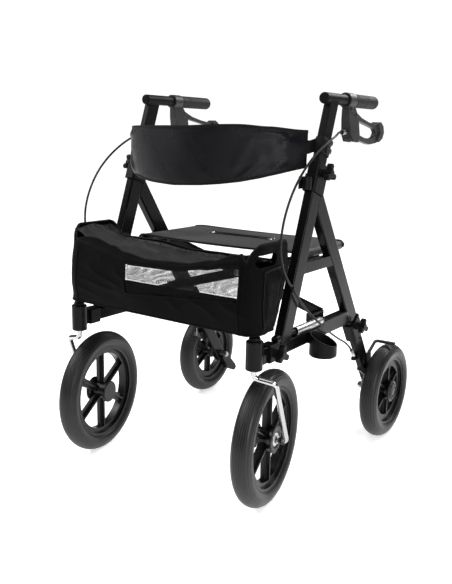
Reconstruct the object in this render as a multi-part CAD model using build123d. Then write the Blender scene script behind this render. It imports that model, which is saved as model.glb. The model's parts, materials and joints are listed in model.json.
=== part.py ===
from build123d import *
import math
import os

# Folding rollator walker, in millimetres. +X is the user's left, -Y is the way the walker
# rolls, +Z is up. The origin is on the floor under the middle of the walker.
# Everything is drawn for the +X side and mirrored to the -X side.

# ---- overall layout ------------------------------------------------------------------
FRAME_X = 255.0            # middle plane of each side frame
TUBE_W = 22.0              # leg tube, across the walker
TUBE_D = 42.0              # leg tube, along the walker
WALL = 2.0
CORNER = 4.0               # outer corner radius of the leg tube
FRONT_LEAN = 19.8          # front leg and handle post, from the vertical
REAR_LEAN = 34.9           # rear leg, from the vertical
FRONT_FOOT = (-233.0, 357.0)     # y, z of a point on the front leg's axis
REAR_FOOT = (126.0, 338.0)       # y, z of a point on the rear leg's axis
RUN_GAP = 0.05             # radial clearance of a shaft in its bore
SLIDE_GAP = 0.3            # clearance of a telescoping tube on each side
APART = 0.3                # gap kept between pieces that only pass each other

# ---- bottom rail and fold pivot ------------------------------------------------------
RAIL_BOTTOM = 345.0
RAIL_TOP = 373.0
RAIL_REAR_TOP = 382.0      # the rear stretch of the rail is taller
RAIL_FRONT_Y = -290.0
RAIL_STEP_Y = -50.0
PIVOT_X = 258.0
PIVOT_Z = 382.0
PIVOT_R = 6.0
SLEEVE_R = 9.0
SLEEVE_Y = (-176.0, -56.0)
ROD_CAP_Y = -265.0         # front end of the pivot rod
FRONT_KNOB_Y = -279.0
REAR_LEG_END_Z = 318.0     # lower end of the outer rear leg
REAR_KNOB_Z = 333.0

# ---- folding cross and seat ----------------------------------------------------------
CROSS_Z = 458.0            # height of the cross's centre bolt
BAR_TALL = 25.0
BAR_A_Y = (-18.0, -7.0)
BAR_B_Y = (-5.0, 6.0)
SEAT_TUBE_X = 220.0
SEAT_TUBE_Z = 537.0
SEAT_TUBE_R = 8.0
SEAT_TUBE_Y = 118.0
SEAT_HALF_X = 229.0
SEAT_Y = (-135.0, 125.0)
SEAT_Z = (545.4, 551.4)
SEAT_SLOT = (-110.0, 80.0, 6.0, 24.0)   # x from, x to, y from, y to

# ---- handle --------------------------------------------------------------------------
HANDLE_X = 252.0
HANDLE_Z = 882.5
HANDLE_R = 12.5
HANDLE_Y = (-80.0, 184.0)
GRIP_R = 15.5
GRIP_Y = (62.0, 191.0)
POST_BOTTOM_Z = 545.0
COLLAR_Z = (680.0, 742.0)
KNOB_Z = 723.0
LEG_TOP_Z = 700.0          # the front leg ends inside the height collar
LEVER_PIVOT = (72.0, 850.0)       # y, z
LEVER_HALF = 6.0           # half the lever arms' width
LEVER_BAR_HALF = 12.0      # half the width of the bar under the fingers
HOUSING_HALF = 14.0        # half the brake housing's width at its foot
HOUSING_NECK = 8.5         # and just under the handle tube
BARREL_Z = 811.0           # cable adjuster in the housing's front
BARREL_R = 5.5
BARREL_Y = (18.6, 50.0)

# ---- front wheel, its fork and arm ---------------------------------------------------
CASTER = (249.0, -328.0)          # x, y of the swivel axis
FRONT_ARM_Y = -318.0       # front end of the sliding arm
CASTER_TURN = 8.5                 # both casters stand turned by this much
TRAIL = 81.0
FRONT_R = 152.5
FRONT_RIM_R = 116.0
FRONT_HOLE_R = 97.0
HOUSING_Z = (332.0, 394.0)
ROD_R = 6.0
ROD_STEM_Z = 313.0         # the rod turns outboard just under the housing
ROD_BEND = (43.0, 16.0, 302.0)    # outboard, back and height of its knee
ROD_SIDE = 47.0

# ---- rear wheel ----------------------------------------------------------------------
REAR_R = 127.0
REAR_RIM_R = 92.0
REAR_HOLE_R = 67.0
REAR_X = 298.0
REAR_Z = REAR_R
REAR_Y = REAR_FOOT[0] + (REAR_FOOT[1] - REAR_Z) * math.tan(math.radians(REAR_LEAN))
TYRE_W = 48.0
TYRE_TALL = 22.0          # half the height of the tyre's oval section
BRAKE_PIVOT = (236.0, 163.0)      # y, z

# ---- soft parts ----------------------------------------------------------------------
BACKREST_Z = (690.0, 820.0)
BAG_X = 262.0
BAG_WALL = 4.0
CUP_AXIS = (299.5, -118.0)
CABLE_R = 2.5


# ---- helpers -------------------------------------------------------------------------
def front_y(z):
    """y of the front leg's axis at a height."""
    return FRONT_FOOT[0] + (z - FRONT_FOOT[1]) * math.tan(math.radians(FRONT_LEAN))


def rear_y(z):
    """y of the rear leg's axis at a height."""
    return REAR_FOOT[0] + (REAR_FOOT[1] - z) * math.tan(math.radians(REAR_LEAN))


def leg_plane(y, z, lean):
    """Plane across a leg: its x is across the walker and its z goes up the leg."""
    up = (0, math.sin(math.radians(lean)), math.cos(math.radians(lean)))
    return Plane(origin=(FRAME_X, y, z), x_dir=(1, 0, 0), z_dir=up)


def rear_plane(z):
    return leg_plane(rear_y(z), z, -REAR_LEAN)


def front_plane(z):
    return leg_plane(front_y(z), z, FRONT_LEAN)


def bar_between(plane, width, depth, length, radius=CORNER):
    """Solid bar with rounded corners, drawn up from a plane."""
    return extrude(plane * RectangleRounded(width, depth, radius), amount=length)


def tube_between(plane, width, depth, length, wall=WALL, radius=CORNER):
    """Open rectangular tube, drawn up from a plane."""
    outer = RectangleRounded(width, depth, radius)
    inner = RectangleRounded(width - 2 * wall, depth - 2 * wall, max(radius - wall, 0.5))
    return extrude(plane * (outer - inner), amount=length)


def block(x, y, z):
    """Box from three (low, high) pairs."""
    size = [b - a for a, b in (x, y, z)]
    middle = [(a + b) / 2 for a, b in (x, y, z)]
    return Pos(*middle) * Box(*size)


def rod_x(y, z, radius, x0, x1):
    return Pos((x0 + x1) / 2, y, z) * Rot(0, 90, 0) * Cylinder(radius, x1 - x0)


def rod_y(x, z, radius, y0, y1):
    return Pos(x, (y0 + y1) / 2, z) * Rot(90, 0, 0) * Cylinder(radius, y1 - y0)


def rod_z(x, y, radius, z0, z1):
    return Pos(x, y, (z0 + z1) / 2) * Cylinder(radius, z1 - z0)


def side_shape(points, x0, x1, radius=0.0):
    """Outline in the walker's side view (y, z), drawn through from x0 to x1."""
    face = make_face(Polyline(*points, close=True))
    if radius:
        face = fillet(face.vertices(), radius)
    plane = Plane(origin=(x0, 0, 0), x_dir=(0, 1, 0), z_dir=(1, 0, 0))
    return extrude(plane * face, amount=x1 - x0)


def plan_shape(face, z0, z1):
    return extrude(Pos(0, 0, z0) * face, amount=z1 - z0)


def mirrored(shape):
    return mirror(shape, about=Plane.YZ)


def save(name, shape):
    export_step(shape, os.path.join("parts", name + ".step"))


def save_pair(name, shape):
    """Write the +X side's piece and its mirror image."""
    save(name + "_right", shape)
    save(name + "_left", mirrored(shape))


# ---- envelopes that other pieces are cut back to -------------------------------------
FRONT_LEG_FULL = bar_between(front_plane(300), TUBE_W, TUBE_D, 440)
REAR_LEG_FULL = bar_between(rear_plane(320), TUBE_W, TUBE_D, 460)
PIVOT_ROD = rod_y(PIVOT_X, PIVOT_Z, PIVOT_R, ROD_CAP_Y, RAIL_STEP_Y + 2)
KNOB_STUD_R = 4.0


# ---- side frame ----------------------------------------------------------------------
def cable_clip():
    """Clip on the leg's front face, round the brake cable where its two stretches meet."""
    middle = (Vector(*CABLE_UPPER[-1]) + Vector(*CABLE_LOWER[0])) * 0.5
    along = Vector(*CABLE_LOWER[0]) - Vector(*CABLE_UPPER[-1])
    plane = Plane(origin=middle - along.normalized() * 4, z_dir=along)
    ring = extrude(plane * (Circle(CABLE_R + 2.4) - Circle(CABLE_R + 0.2)), amount=8)
    behind = front_y(middle.Z) - 20
    tab = block((FRAME_X + 6, FRAME_X + 12.6), (middle.Y, behind), (middle.Z - 5, middle.Z + 5))
    tab = tab - extrude(plane.offset(-20) * Circle(CABLE_R + 1), amount=48)
    return (tab - FRONT_LEG_FULL) + ring


def front_leg():
    start = RAIL_TOP - 28
    length = (LEG_TOP_Z - start) / math.cos(math.radians(FRONT_LEAN))
    leg = tube_between(front_plane(start), TUBE_W, TUBE_D, length)
    leg = leg - block((200, 310), (-300, -100), (300, RAIL_TOP))
    leg = leg - PIVOT_ROD
    leg = leg - rod_x(front_y(KNOB_Z), KNOB_Z, KNOB_STUD_R + 0.3, FRAME_X, FRAME_X + 40)
    return leg + cable_clip()


def rear_leg():
    leg = tube_between(rear_plane(REAR_LEG_END_Z), TUBE_W, TUBE_D, 440)
    leg = leg - FRONT_LEG_FULL
    leg = leg - collar_body(COLLAR_Z[0], TUBE_W + 9, TUBE_D + 10, 80)
    leg = leg - rod_x(rear_y(REAR_KNOB_Z), REAR_KNOB_Z, KNOB_STUD_R + 0.3, FRAME_X, FRAME_X + 40)
    return max(leg.solids(), key=lambda s: s.volume)


def bottom_rail():
    mid = (RAIL_BOTTOM + RAIL_TOP) / 2
    front = Plane(origin=(FRAME_X, RAIL_FRONT_Y, mid), x_dir=(1, 0, 0), z_dir=(0, 1, 0))
    rail = tube_between(front, TUBE_W, RAIL_TOP - RAIL_BOTTOM, RAIL_STEP_Y - RAIL_FRONT_Y, radius=3)
    mid = (RAIL_BOTTOM + RAIL_REAR_TOP) / 2
    rear = Plane(origin=(FRAME_X, RAIL_STEP_Y - 4, mid), x_dir=(1, 0, 0), z_dir=(0, 1, 0))
    rail = rail + tube_between(rear, TUBE_W, RAIL_REAR_TOP - RAIL_BOTTOM, 180, radius=4)
    rail = rail - REAR_LEG_FULL
    rail = max(rail.solids(), key=lambda s: s.volume)
    lug_z = (RAIL_TOP - 1, RAIL_REAR_TOP + 8)
    lug = block((FRAME_X - 9, FRAME_X + 11.5), (RAIL_STEP_Y - 5, RAIL_STEP_Y), lug_z)
    cap = rod_y(PIVOT_X, PIVOT_Z, SLEEVE_R, ROD_CAP_Y, ROD_CAP_Y + 14)
    cap = fillet(cap.edges().group_by(Axis.Y)[0], 3)
    cap = cap + block((PIVOT_X - 6, PIVOT_X + 6), (ROD_CAP_Y + 2, ROD_CAP_Y + 14), (RAIL_TOP - 1, PIVOT_Z))
    rail = rail + lug + PIVOT_ROD + cap
    return rail - rod_x(FRONT_KNOB_Y, mid_rail(), KNOB_STUD_R + 0.3, FRAME_X, FRAME_X + 40)


def mid_rail():
    return (RAIL_BOTTOM + RAIL_TOP) / 2


def seat_side_rail():
    """Cross tube between the two legs, with two saddles that the seat tube comes to rest on."""
    z0 = 508.0
    z1 = 532.0
    tube = block((FRAME_X - 10, FRAME_X + 10), (-210, 60), (z0, z1))
    tube = tube - block((FRAME_X - 8, FRAME_X + 8), (-211, 61), (z0 + 2, z1 - 2))
    tube = tube - FRONT_LEG_FULL - REAR_LEG_FULL
    tube = max(tube.solids(), key=lambda s: s.volume)
    top = SEAT_TUBE_Z - SEAT_TUBE_R - 0.5
    for y in (-100.0, -50.0):
        saddle = block((SEAT_TUBE_X - 9, FRAME_X - 9.5), (y - 9, y + 9), (top - 13, top))
        tube = tube + saddle
    return tube


def collar_body(z, width, depth, length):
    """Plain outer block of a collar round the front leg, from a height upwards."""
    return bar_between(front_plane(z), width, depth, length, 6)


def height_collar():
    """Lower half grips the leg, upper half guides the handle post, the knob boss is outside."""
    lean = math.cos(math.radians(FRONT_LEAN))
    length = (COLLAR_Z[1] - COLLAR_Z[0]) / lean
    body = collar_body(COLLAR_Z[0], TUBE_W + 9, TUBE_D + 10, length * 0.55)
    body = body + bar_between(front_plane(COLLAR_Z[0]), TUBE_W + 5, TUBE_D + 4, length, 5)
    body = body + rod_x(front_y(KNOB_Z), KNOB_Z, 10, FRAME_X, FRAME_X + TUBE_W / 2 + 9)
    body = body - bar_between(front_plane(600), TUBE_W, TUBE_D, (LEG_TOP_Z - 600) / lean)
    body = body - bar_between(front_plane(600), TUBE_W - 4 + 0.2, TUBE_D - 4 + 0.2, 300, 2)
    return body - rod_x(front_y(KNOB_Z), KNOB_Z, KNOB_STUD_R + 0.2, FRAME_X, FRAME_X + 60)


def rear_collar():
    plane = rear_plane(302)
    length = 56.0
    body = bar_between(plane, TUBE_W + 8, TUBE_D + 9, length, 6)
    boss = rod_x(rear_y(REAR_KNOB_Z), REAR_KNOB_Z, 10, FRAME_X, FRAME_X + TUBE_W / 2 + 9)
    body = body + boss
    body = body - bar_between(rear_plane(REAR_LEG_END_Z), TUBE_W, TUBE_D, 80)
    body = body - bar_between(rear_plane(250), TUBE_W - 4 + 0.2, TUBE_D - 4 + 0.2, 200, 2)
    return body - rod_x(rear_y(REAR_KNOB_Z), REAR_KNOB_Z, KNOB_STUD_R + 0.2, FRAME_X, FRAME_X + 60)


def front_clamp():
    """Collar on the rail's front end that grips the sliding front arm."""
    z = mid_rail()
    plane = Plane(origin=(FRAME_X, -296, z), x_dir=(1, 0, 0), z_dir=(0, 1, 0))
    tall = RAIL_TOP - RAIL_BOTTOM
    body = bar_between(plane, TUBE_W + 8, tall + 10, 30.5, 4)
    body = body + rod_x(FRONT_KNOB_Y, z, 10, FRAME_X, FRAME_X + TUBE_W / 2 + 9)
    outer = Plane(origin=(FRAME_X, RAIL_FRONT_Y, z), x_dir=(1, 0, 0), z_dir=(0, 1, 0))
    body = body - bar_between(outer, TUBE_W, tall, 80, 3)
    inner = Plane(origin=(FRAME_X, -320, z), x_dir=(1, 0, 0), z_dir=(0, 1, 0))
    body = body - bar_between(inner, TUBE_W - 4 + 0.2, tall - 4 + 0.2, 120, 1)
    return body - rod_x(FRONT_KNOB_Y, z, KNOB_STUD_R + 0.2, FRAME_X, FRAME_X + 60)


def cane_clip():
    """Open C clip on the front of the height collar, which holds a cane's shaft."""
    z0 = 691.0
    z1 = 717.0
    front_face = front_y((z0 + z1) / 2) - (TUBE_D / 2 + 5) / math.cos(math.radians(FRONT_LEAN))
    y = front_face - 20
    ring = rod_z(FRAME_X + 1, y, 14, z0, z1) - rod_z(FRAME_X + 1, y, 11, z0 - 1, z1 + 1)
    mouth = block((FRAME_X - 7, FRAME_X + 9), (y - 20, y), (z0 - 1, z1 + 1))
    ring = ring - mouth
    stem = block((FRAME_X - 5, FRAME_X + 7), (y + 12.2, y + 30), (z0 + 6, z1 - 6))
    stem = stem - collar_body(COLLAR_Z[0] - 40, TUBE_W + 9, TUBE_D + 10, 140)
    return ring + max(stem.solids(), key=lambda s: -s.center().Y)


def cane_cup():
    """Open cup on the bottom rail's outer side, which holds a cane's foot."""
    x, y = CUP_AXIS
    outer = rod_z(x, y, 31, 320, 374)
    outer = chamfer(outer.edges().group_by(Axis.Z)[0], 3)
    inner = rod_z(x, y, 28.2, 323, 400)
    cup = outer - inner - rod_z(x, y, 9, 300, 330)
    slope = Plane(origin=(x, y, 360), z_dir=(0.43, 0.1, 1))
    cup = cup - extrude(slope * Rectangle(160, 160), amount=60)
    arm = block((FRAME_X + TUBE_W / 2, x - 20), (y - 12, y + 12), (346, 362))
    arm = arm - rod_z(x, y, 29.5, 300, 400)
    return cup + arm


# ---- folding cross -------------------------------------------------------------------
def cross_bar(y0, y1):
    """Bar from the +X lower pivot up to the -X seat tube, with its sleeve, foot and seat tube."""
    rise = math.atan2(CROSS_Z - PIVOT_Z, PIVOT_X)
    along = (-math.cos(rise), math.sin(rise))
    plane = Plane(origin=(PIVOT_X, (y0 + y1) / 2, PIVOT_Z), x_dir=(0, 1, 0), z_dir=(along[0], 0, along[1]))
    reach = (PIVOT_X + SEAT_TUBE_X - 3) / math.cos(rise)
    bar = extrude(plane * Pos(0, 0, 22) * RectangleRounded(y1 - y0, BAR_TALL, 2.5), amount=reach - 22)
    bar = bar - rod_y(-SEAT_TUBE_X, SEAT_TUBE_Z, SEAT_TUBE_R - 1, y0 - 1, y1 + 1)
    tube = rod_y(-SEAT_TUBE_X, SEAT_TUBE_Z, SEAT_TUBE_R, -SEAT_TUBE_Y, SEAT_TUBE_Y)
    bar = bar + tube
    foot = block((PIVOT_X - 33, PIVOT_X - 16), (SLEEVE_Y[1] - 8, y1), (PIVOT_Z - 6, PIVOT_Z + 14))
    foot = foot + block((PIVOT_X - 30, PIVOT_X), (SLEEVE_Y[1] - 8, SLEEVE_Y[1]), (PIVOT_Z - 5, PIVOT_Z + 6))
    sleeve = rod_y(PIVOT_X, PIVOT_Z, SLEEVE_R, *SLEEVE_Y)
    bar = bar + foot + sleeve
    bar = bar - rod_y(PIVOT_X, PIVOT_Z, PIVOT_R + RUN_GAP, SLEEVE_Y[0] - 1, SLEEVE_Y[1] + 1)
    return bar - rod_y(0, CROSS_Z, 4 + RUN_GAP, y0 - 1, y1 + 1)


def pivot_bolt():
    bolt = rod_y(0, CROSS_Z, 4, BAR_A_Y[0] - 3, BAR_B_Y[1] + 10)
    washer = rod_y(0, CROSS_Z, 8, BAR_A_Y[1] + APART, BAR_B_Y[0] - APART)
    head = rod_y(0, CROSS_Z, 8, BAR_A_Y[0] - 5, BAR_A_Y[0] - APART)
    nut_plane = Plane(origin=(0, BAR_B_Y[1] + APART, CROSS_Z), x_dir=(1, 0, 0), z_dir=(0, 1, 0))
    nut = extrude(nut_plane * RegularPolygon(7.5, 6), amount=7)
    return bolt + washer + head + nut


def seat():
    corner = 25.0
    y0, y1 = SEAT_Y
    half = SEAT_HALF_X
    points = [(-half, y0), (half, y0), (half, y1 - corner), (half - corner, y1)]
    points += [(corner - half, y1), (-half, y1 - corner)]
    face = make_face(Polyline(*points, close=True))
    x0, x1, sy0, sy1 = SEAT_SLOT
    slot = Pos((x0 + x1) / 2, (sy0 + sy1) / 2) * RectangleRounded(x1 - x0, sy1 - sy0, 4)
    return plan_shape(face - slot, *SEAT_Z)


def seat_strap():
    """Webbing pull strap that lies just under the seat's slot and is stitched at both ends."""
    x0, x1, y0, y1 = SEAT_SLOT
    z = SEAT_Z[0]
    return block((x0 - 22, x1 + 22), (y0 + 1, y1 - 1), (z - 2, z))


# ---- handle --------------------------------------------------------------------------
def handle_tube(radius=HANDLE_R):
    return rod_y(HANDLE_X, HANDLE_Z, radius, *HANDLE_Y)


def handle_post():
    """Telescoping post with the handle tube welded across its top."""
    lean = math.cos(math.radians(FRONT_LEAN))
    width = TUBE_W - 2 * WALL - 2 * SLIDE_GAP
    depth = TUBE_D - 2 * WALL - 2 * SLIDE_GAP
    length = (HANDLE_Z - POST_BOTTOM_Z) / lean
    post = tube_between(front_plane(POST_BOTTOM_Z), width, depth, length, 1.5, 2.5)
    tube = handle_tube()
    tube = fillet(tube.edges().group_by(Axis.Y)[0], 4)
    return (post - handle_tube()) + (tube - handle_tube(HANDLE_R - 2).moved(Location((0, 6, 0))))


def grip():
    body = rod_y(HANDLE_X, HANDLE_Z, GRIP_R, *GRIP_Y)
    body = fillet(body.edges().group_by(Axis.Y)[-1], 11)
    body = fillet(body.edges().group_by(Axis.Y)[0], 2)
    return body - handle_tube()


def brake_housing():
    """Clamp ring on the handle tube, and two cheeks that hold the lever's pin."""
    ring = rod_y(HANDLE_X, HANDLE_Z, 17, 27, 59)
    outline = [(31, 872), (56, 876), (68, 866), (84, 846), (90, 806), (82, 788), (56, 790), (42, 806)]
    outline.append((34, 840))
    body = side_shape(outline, HANDLE_X - HOUSING_HALF, HANDLE_X + HOUSING_HALF, 3)
    for side in (1, -1):
        body = body - housing_taper(side)
    barrel = rod_y(HANDLE_X, BARREL_Z, BARREL_R, *BARREL_Y)
    body = body + ring + barrel
    slot = [(57, 900), (120, 900), (120, 760), (52, 760), (52, 800), (57, 830)]
    body = body - side_shape(slot, HANDLE_X - LEVER_HALF - 0.4, HANDLE_X + LEVER_HALF + 0.4)
    body = body - rod_y(HANDLE_X, HANDLE_Z, HANDLE_R, 0, 90)
    body = body - rod_y(HANDLE_X, HANDLE_Z, GRIP_R + 0.2, GRIP_Y[0], 100)
    body = body - rod_y(HANDLE_X, BARREL_Z, CABLE_R, BARREL_Y[0] - 4, BARREL_Y[0] + 12)
    pin = rod_x(*LEVER_PIVOT, 3, HANDLE_X - 11.4, HANDLE_X + 11.4)
    screw = rod_x(44, 862, 3.2, HANDLE_X + 8, HANDLE_X + 11)
    return max((body + pin + screw).solids(), key=lambda s: s.volume)


def housing_taper(side):
    """Wedge that narrows the brake housing towards the handle tube."""
    low = (HANDLE_X + side * HOUSING_HALF, 786)
    high = (HANDLE_X + side * HOUSING_NECK, 872)
    far = HANDLE_X + side * 40
    outline = [(low[0], 0, low[1]), (high[0], 0, high[1]), (high[0], 0, 900), (far, 0, 900), (far, 0, low[1])]
    return extrude(make_face(Polyline(*outline, close=True)), amount=120, dir=(0, 1, 0))


def brake_lever():
    """Closed finger loop, hinged on the housing's pin, with a wider bar at its free end."""
    outer = [(62, 856), (78, 858), (112, 845), (150, 837), (192, 831), (216, 838), (232, 828), (238, 813)]
    outer += [(230, 798), (206, 787), (165, 783), (120, 790), (88, 795), (72, 806), (62, 836)]
    inner = [(94, 838), (124, 833), (160, 827), (192, 821), (202, 812), (197, 802), (176, 797), (132, 799)]
    inner += [(98, 806), (88, 818)]
    loop = side_shape(outer, HANDLE_X - LEVER_HALF, HANDLE_X + LEVER_HALF, 3)
    bar = [(204, 833), (216, 838), (232, 828), (238, 813), (230, 798), (208, 788), (203, 797), (216, 812)]
    loop = loop + side_shape(bar, HANDLE_X - LEVER_BAR_HALF, HANDLE_X + LEVER_BAR_HALF, 3)
    loop = loop - side_shape(inner, HANDLE_X - 20, HANDLE_X + 20, 3)
    return loop - rod_x(*LEVER_PIVOT, 3 + RUN_GAP, HANDLE_X - 20, HANDLE_X + 20)


def backrest():
    """Curved padded band between the two handle posts, with a strap loop round each post."""
    end = (240.0, -125.0)
    front = 285.0
    thick = 8.0
    outer = ThreePointArc((-end[0], end[1]), (0, -front), end)
    inner = ThreePointArc((-end[0] + thick, end[1]), (0, thick - front), (end[0] - thick, end[1]))
    ends = [Line((-end[0], end[1]), (-end[0] + thick, end[1])), Line(end, (end[0] - thick, end[1]))]
    band = plan_shape(make_face([outer, inner] + ends), *BACKREST_Z)
    lower_edge = [(-110, 680), (-110, 735), (-130, 732), (-181, 721), (-214, 711.5), (-240, 703.5)]
    lower_edge += [(-262, 697), (-300, 686), (-300, 680)]
    band = band - side_shape(lower_edge, -300, 300)
    for side in (1, -1):
        band = band + post_strap(side)
    return band


def post_strap(side):
    """Webbing loop round a handle post, just clear of it, joined to the pad's end."""
    plane = front_plane(762)
    width = TUBE_W - 2 * WALL - 2 * SLIDE_GAP
    depth = TUBE_D - 2 * WALL - 2 * SLIDE_GAP
    loop = bar_between(plane, width + 6.6, depth + 6.6, 32, 4)
    loop = loop - bar_between(front_plane(700), width + 0.6, depth + 0.6, 160, 2.8)
    pad_end = (240.0, -125.0)
    tab = block((pad_end[0] - 5, pad_end[0] + 7), (pad_end[1] - 3, -100), (763, 791))
    tab = tab - bar_between(front_plane(700), width + 0.6, depth + 0.6, 160, 2.8)
    strap = loop + max(tab.solids(), key=lambda s: -s.center().Y)
    for z in (770.0, 786.0):
        x0 = FRAME_X + width / 2 + 3.2
        strap = strap + rod_x(front_y(z) + 6, z, 5, x0 - 1, x0 + 4.5)
    return strap if side > 0 else mirrored(strap)


# ---- brake cables --------------------------------------------------------------------
CABLE_UPPER = [
    (252, 18, 811), (255, -4, 810), (265, -28, 807), (275, -62, 800), (277, -103, 788),
    (277, -145, 769), (277, -187, 743), (276, -226, 710), (275, -257, 669), (274, -276, 624),
    (273, -280, 580), (272, -268, 541), (271, -246, 512), (271.2, -222, 490),
]
CABLE_LOWER = [
    (271.2, -214, 482), (273, -196, 463), (276, -166, 434), (278, -129, 407), (280, -91, 382),
    (280, -52, 358), (277, -11, 337), (271, 32, 318), (264, 76, 300), (258, 112, 281), (255, 139, 262),
    (255, 154, 244),
]


def cable(points):
    """Tube along straight runs joined by arcs as large as the runs allow."""
    route = [Vector(*p) for p in points]
    radii = []
    for a, b, c in zip(route, route[1:], route[2:]):
        turn = math.radians((b - a).get_angle(c - b))
        radii.append(0.45 * min((b - a).length, (c - b).length) / math.tan(turn / 2))
    print("cable radii", [round(r) for r in radii])
    path = FilletPolyline(*route, radius=radii)
    start = Plane(origin=route[0], z_dir=route[1] - route[0])
    tube = sweep(start * Circle(CABLE_R), path=path)
    print("cable volume ratio", round(tube.volume / (math.pi * CABLE_R ** 2 * path.length), 4))
    return tube


# ---- rear leg extension, brake arm and wheel -----------------------------------------
def lower_leg():
    """Inner leg tube with the axle boss, the cable stop and the tipping foot."""
    lean = math.radians(REAR_LEAN)
    width = TUBE_W - 2 * WALL - 2 * SLIDE_GAP
    depth = TUBE_D - 2 * WALL - 2 * SLIDE_GAP
    low = REAR_Z - 12
    leg = tube_between(rear_plane(low), width, depth, (450 - low) / math.cos(lean), 1.5, 2.5)
    boss = rod_x(REAR_Y, REAR_Z, 17, FRAME_X - width / 2, FRAME_X + width / 2)
    leg = leg + boss
    foot = [(REAR_Y + 2, REAR_Z + 12), (338, 78), (344, 66), (332, 58), (300, 72), (REAR_Y - 6, REAR_Z - 12)]
    pedal = side_shape(foot, FRAME_X - 22, FRAME_X - 2, 4)
    leg = leg + pedal
    stop_y = CABLE_LOWER[-1][1]
    stop = block((FRAME_X - 5, FRAME_X + 5), (stop_y - 5, stop_y + 22), (233, 241.4))
    leg = leg + stop
    leg = leg - rod_x(REAR_Y, REAR_Z, 6, FRAME_X - 40, FRAME_X + 40)
    return leg - rod_x(*BRAKE_PIVOT, 4, FRAME_X, FRAME_X + 40)


def brake_arm():
    """Plate on the lower leg's outer face, its cable tab, and the shoe bar over the tyre."""
    out = FRAME_X + TUBE_W / 2 - WALL - SLIDE_GAP
    outline = [(224, 152), (246, 154), (250, 172), (236, 240), (226, 246), (214, 238), (220, 190)]
    plate = side_shape(outline, out + APART, out + 4.5, 3)
    outline = [(158, 206), (170, 202), (228, 168), (232, 182), (172, 216), (160, 216)]
    tab = side_shape(outline, out + APART, out + 4.5, 2)
    pin = rod_x(*BRAKE_PIVOT, 4 - RUN_GAP, FRAME_X + 2, out + 4.5)
    path = FilletPolyline((out + 3, 222, 238), (out + 3, 266, 262), (322, 268, 262), radius=9)
    start = Plane(origin=(out + 3, 222, 238), z_dir=(0, 44, 24))
    bar = sweep(start * Circle(4.5), path=path)
    arm = plate + tab + bar
    arm = arm - block((200, out + APART), (150, 300), (140, 300))
    return arm + pin


def tyre(radius, rim_radius):
    """Tyre about the X axis, centred on the origin."""
    middle = radius - TYRE_TALL
    face = Pos(middle, 0) * Ellipse(TYRE_TALL, TYRE_W / 2)
    face = face & (Pos(rim_radius + 100, 0) * Rectangle(200, 100))
    solid = revolve(Plane.XY * face, axis=Axis.Y)
    return Rot(0, 0, 90) * solid


def rim(rim_radius, hole_radius, hub_radius, spokes, bore):
    """Moulded wheel about the X axis: hub, tapered spokes with a rib, and a flanged ring."""
    width = 34.0
    ring = Cylinder(rim_radius, width) - Cylinder(rim_radius - 7, width - 8 + 20)
    web = Cylinder(rim_radius - 3, 20) - Cylinder(hole_radius, 30)
    hub = Cylinder(hub_radius, 40)
    body = ring + web + hub
    reach = hole_radius + 4
    for i in range(spokes):
        turn = Rot(0, 0, 360.0 * i / spokes)
        corners = [(hub_radius - 4, -8), (reach, -11), (reach, 11), (hub_radius - 4, 8)]
        outline = make_face(Polyline(*corners, close=True))
        body = body + turn * Pos(0, 0, -4) * extrude(outline, amount=8)
        body = body + turn * Pos((hub_radius + reach) / 2 - 2, 0, 0) * Box(reach - hub_radius + 2, 4, 22)
    body = body - Cylinder(bore, 80)
    return Rot(0, 90, 0) * body


def front_arm():
    """Bar that slides in the rail's front end and carries the swivel housing."""
    z = mid_rail()
    width = TUBE_W - 2 * WALL - 2 * SLIDE_GAP
    tall = RAIL_TOP - RAIL_BOTTOM - 2 * WALL - 2 * SLIDE_GAP
    plane = Plane(origin=(FRAME_X, FRONT_ARM_Y, z), x_dir=(1, 0, 0), z_dir=(0, 1, 0))
    arm = bar_between(plane, width, tall, 128, 1.2)
    housing = rod_z(*CASTER, 18, *HOUSING_Z)
    housing = fillet(housing.edges().group_by(Axis.Z)[-1], 3)
    housing = fillet(housing.edges().group_by(Axis.Z)[0], 2)
    web = block((FRAME_X - 9, FRAME_X + 9), (-316, -297), (z - 17, z + 17))
    return housing + arm + web - rod_z(*CASTER, ROD_R + RUN_GAP, 300, 420)


def caster_fork():
    """Bent rod: swivel stem, outer leg and wheel axle, with its top nut. Drawn straight."""
    x, y = CASTER
    hub_y = y + TRAIL
    knee = (x + ROD_BEND[0], y + ROD_BEND[1], ROD_BEND[2])
    points = [(x, y, HOUSING_Z[1] + 8), (x, y, ROD_STEM_Z), knee, (x + ROD_SIDE, hub_y, FRONT_R)]
    points.append((x - 23, hub_y, FRONT_R))
    path = FilletPolyline(*points, radius=[13, 12, 10])
    rod = sweep(Plane(origin=points[0], z_dir=(0, 0, -1)) * Circle(ROD_R), path=path)
    nut_plane = Plane(origin=(x, y, HOUSING_Z[1] + APART), z_dir=(0, 0, 1))
    nut = extrude(nut_plane * RegularPolygon(9.5, 6), amount=8)
    washer = rod_z(x, y, 10, HOUSING_Z[0] - 3, HOUSING_Z[0] - APART)
    collar = rod_x(hub_y, FRONT_R, 9, x + 23, x + 27)
    return rod + nut + washer + collar


def straight_front_wheel(solid):
    """Move a wheel drawn about the origin to the straight-standing front wheel's place."""
    return Pos(CASTER[0], CASTER[1] + TRAIL, FRONT_R) * solid


def front_rim():
    wheel = rim(FRONT_RIM_R, FRONT_HOLE_R, 21, 6, ROD_R + RUN_GAP)
    cap = rod_x(0, 0, 27, -30, -23.5)
    cap = fillet(cap.edges().group_by(Axis.X)[0], 3)
    neck = rod_x(0, 0, 21, -24, -19) - rod_x(0, 0, ROD_R + RUN_GAP, -23.5, 0)
    return wheel + neck + cap


def rear_rim():
    wheel = rim(REAR_RIM_R, REAR_HOLE_R, 19, 6, ROD_R + RUN_GAP)
    return wheel


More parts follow.
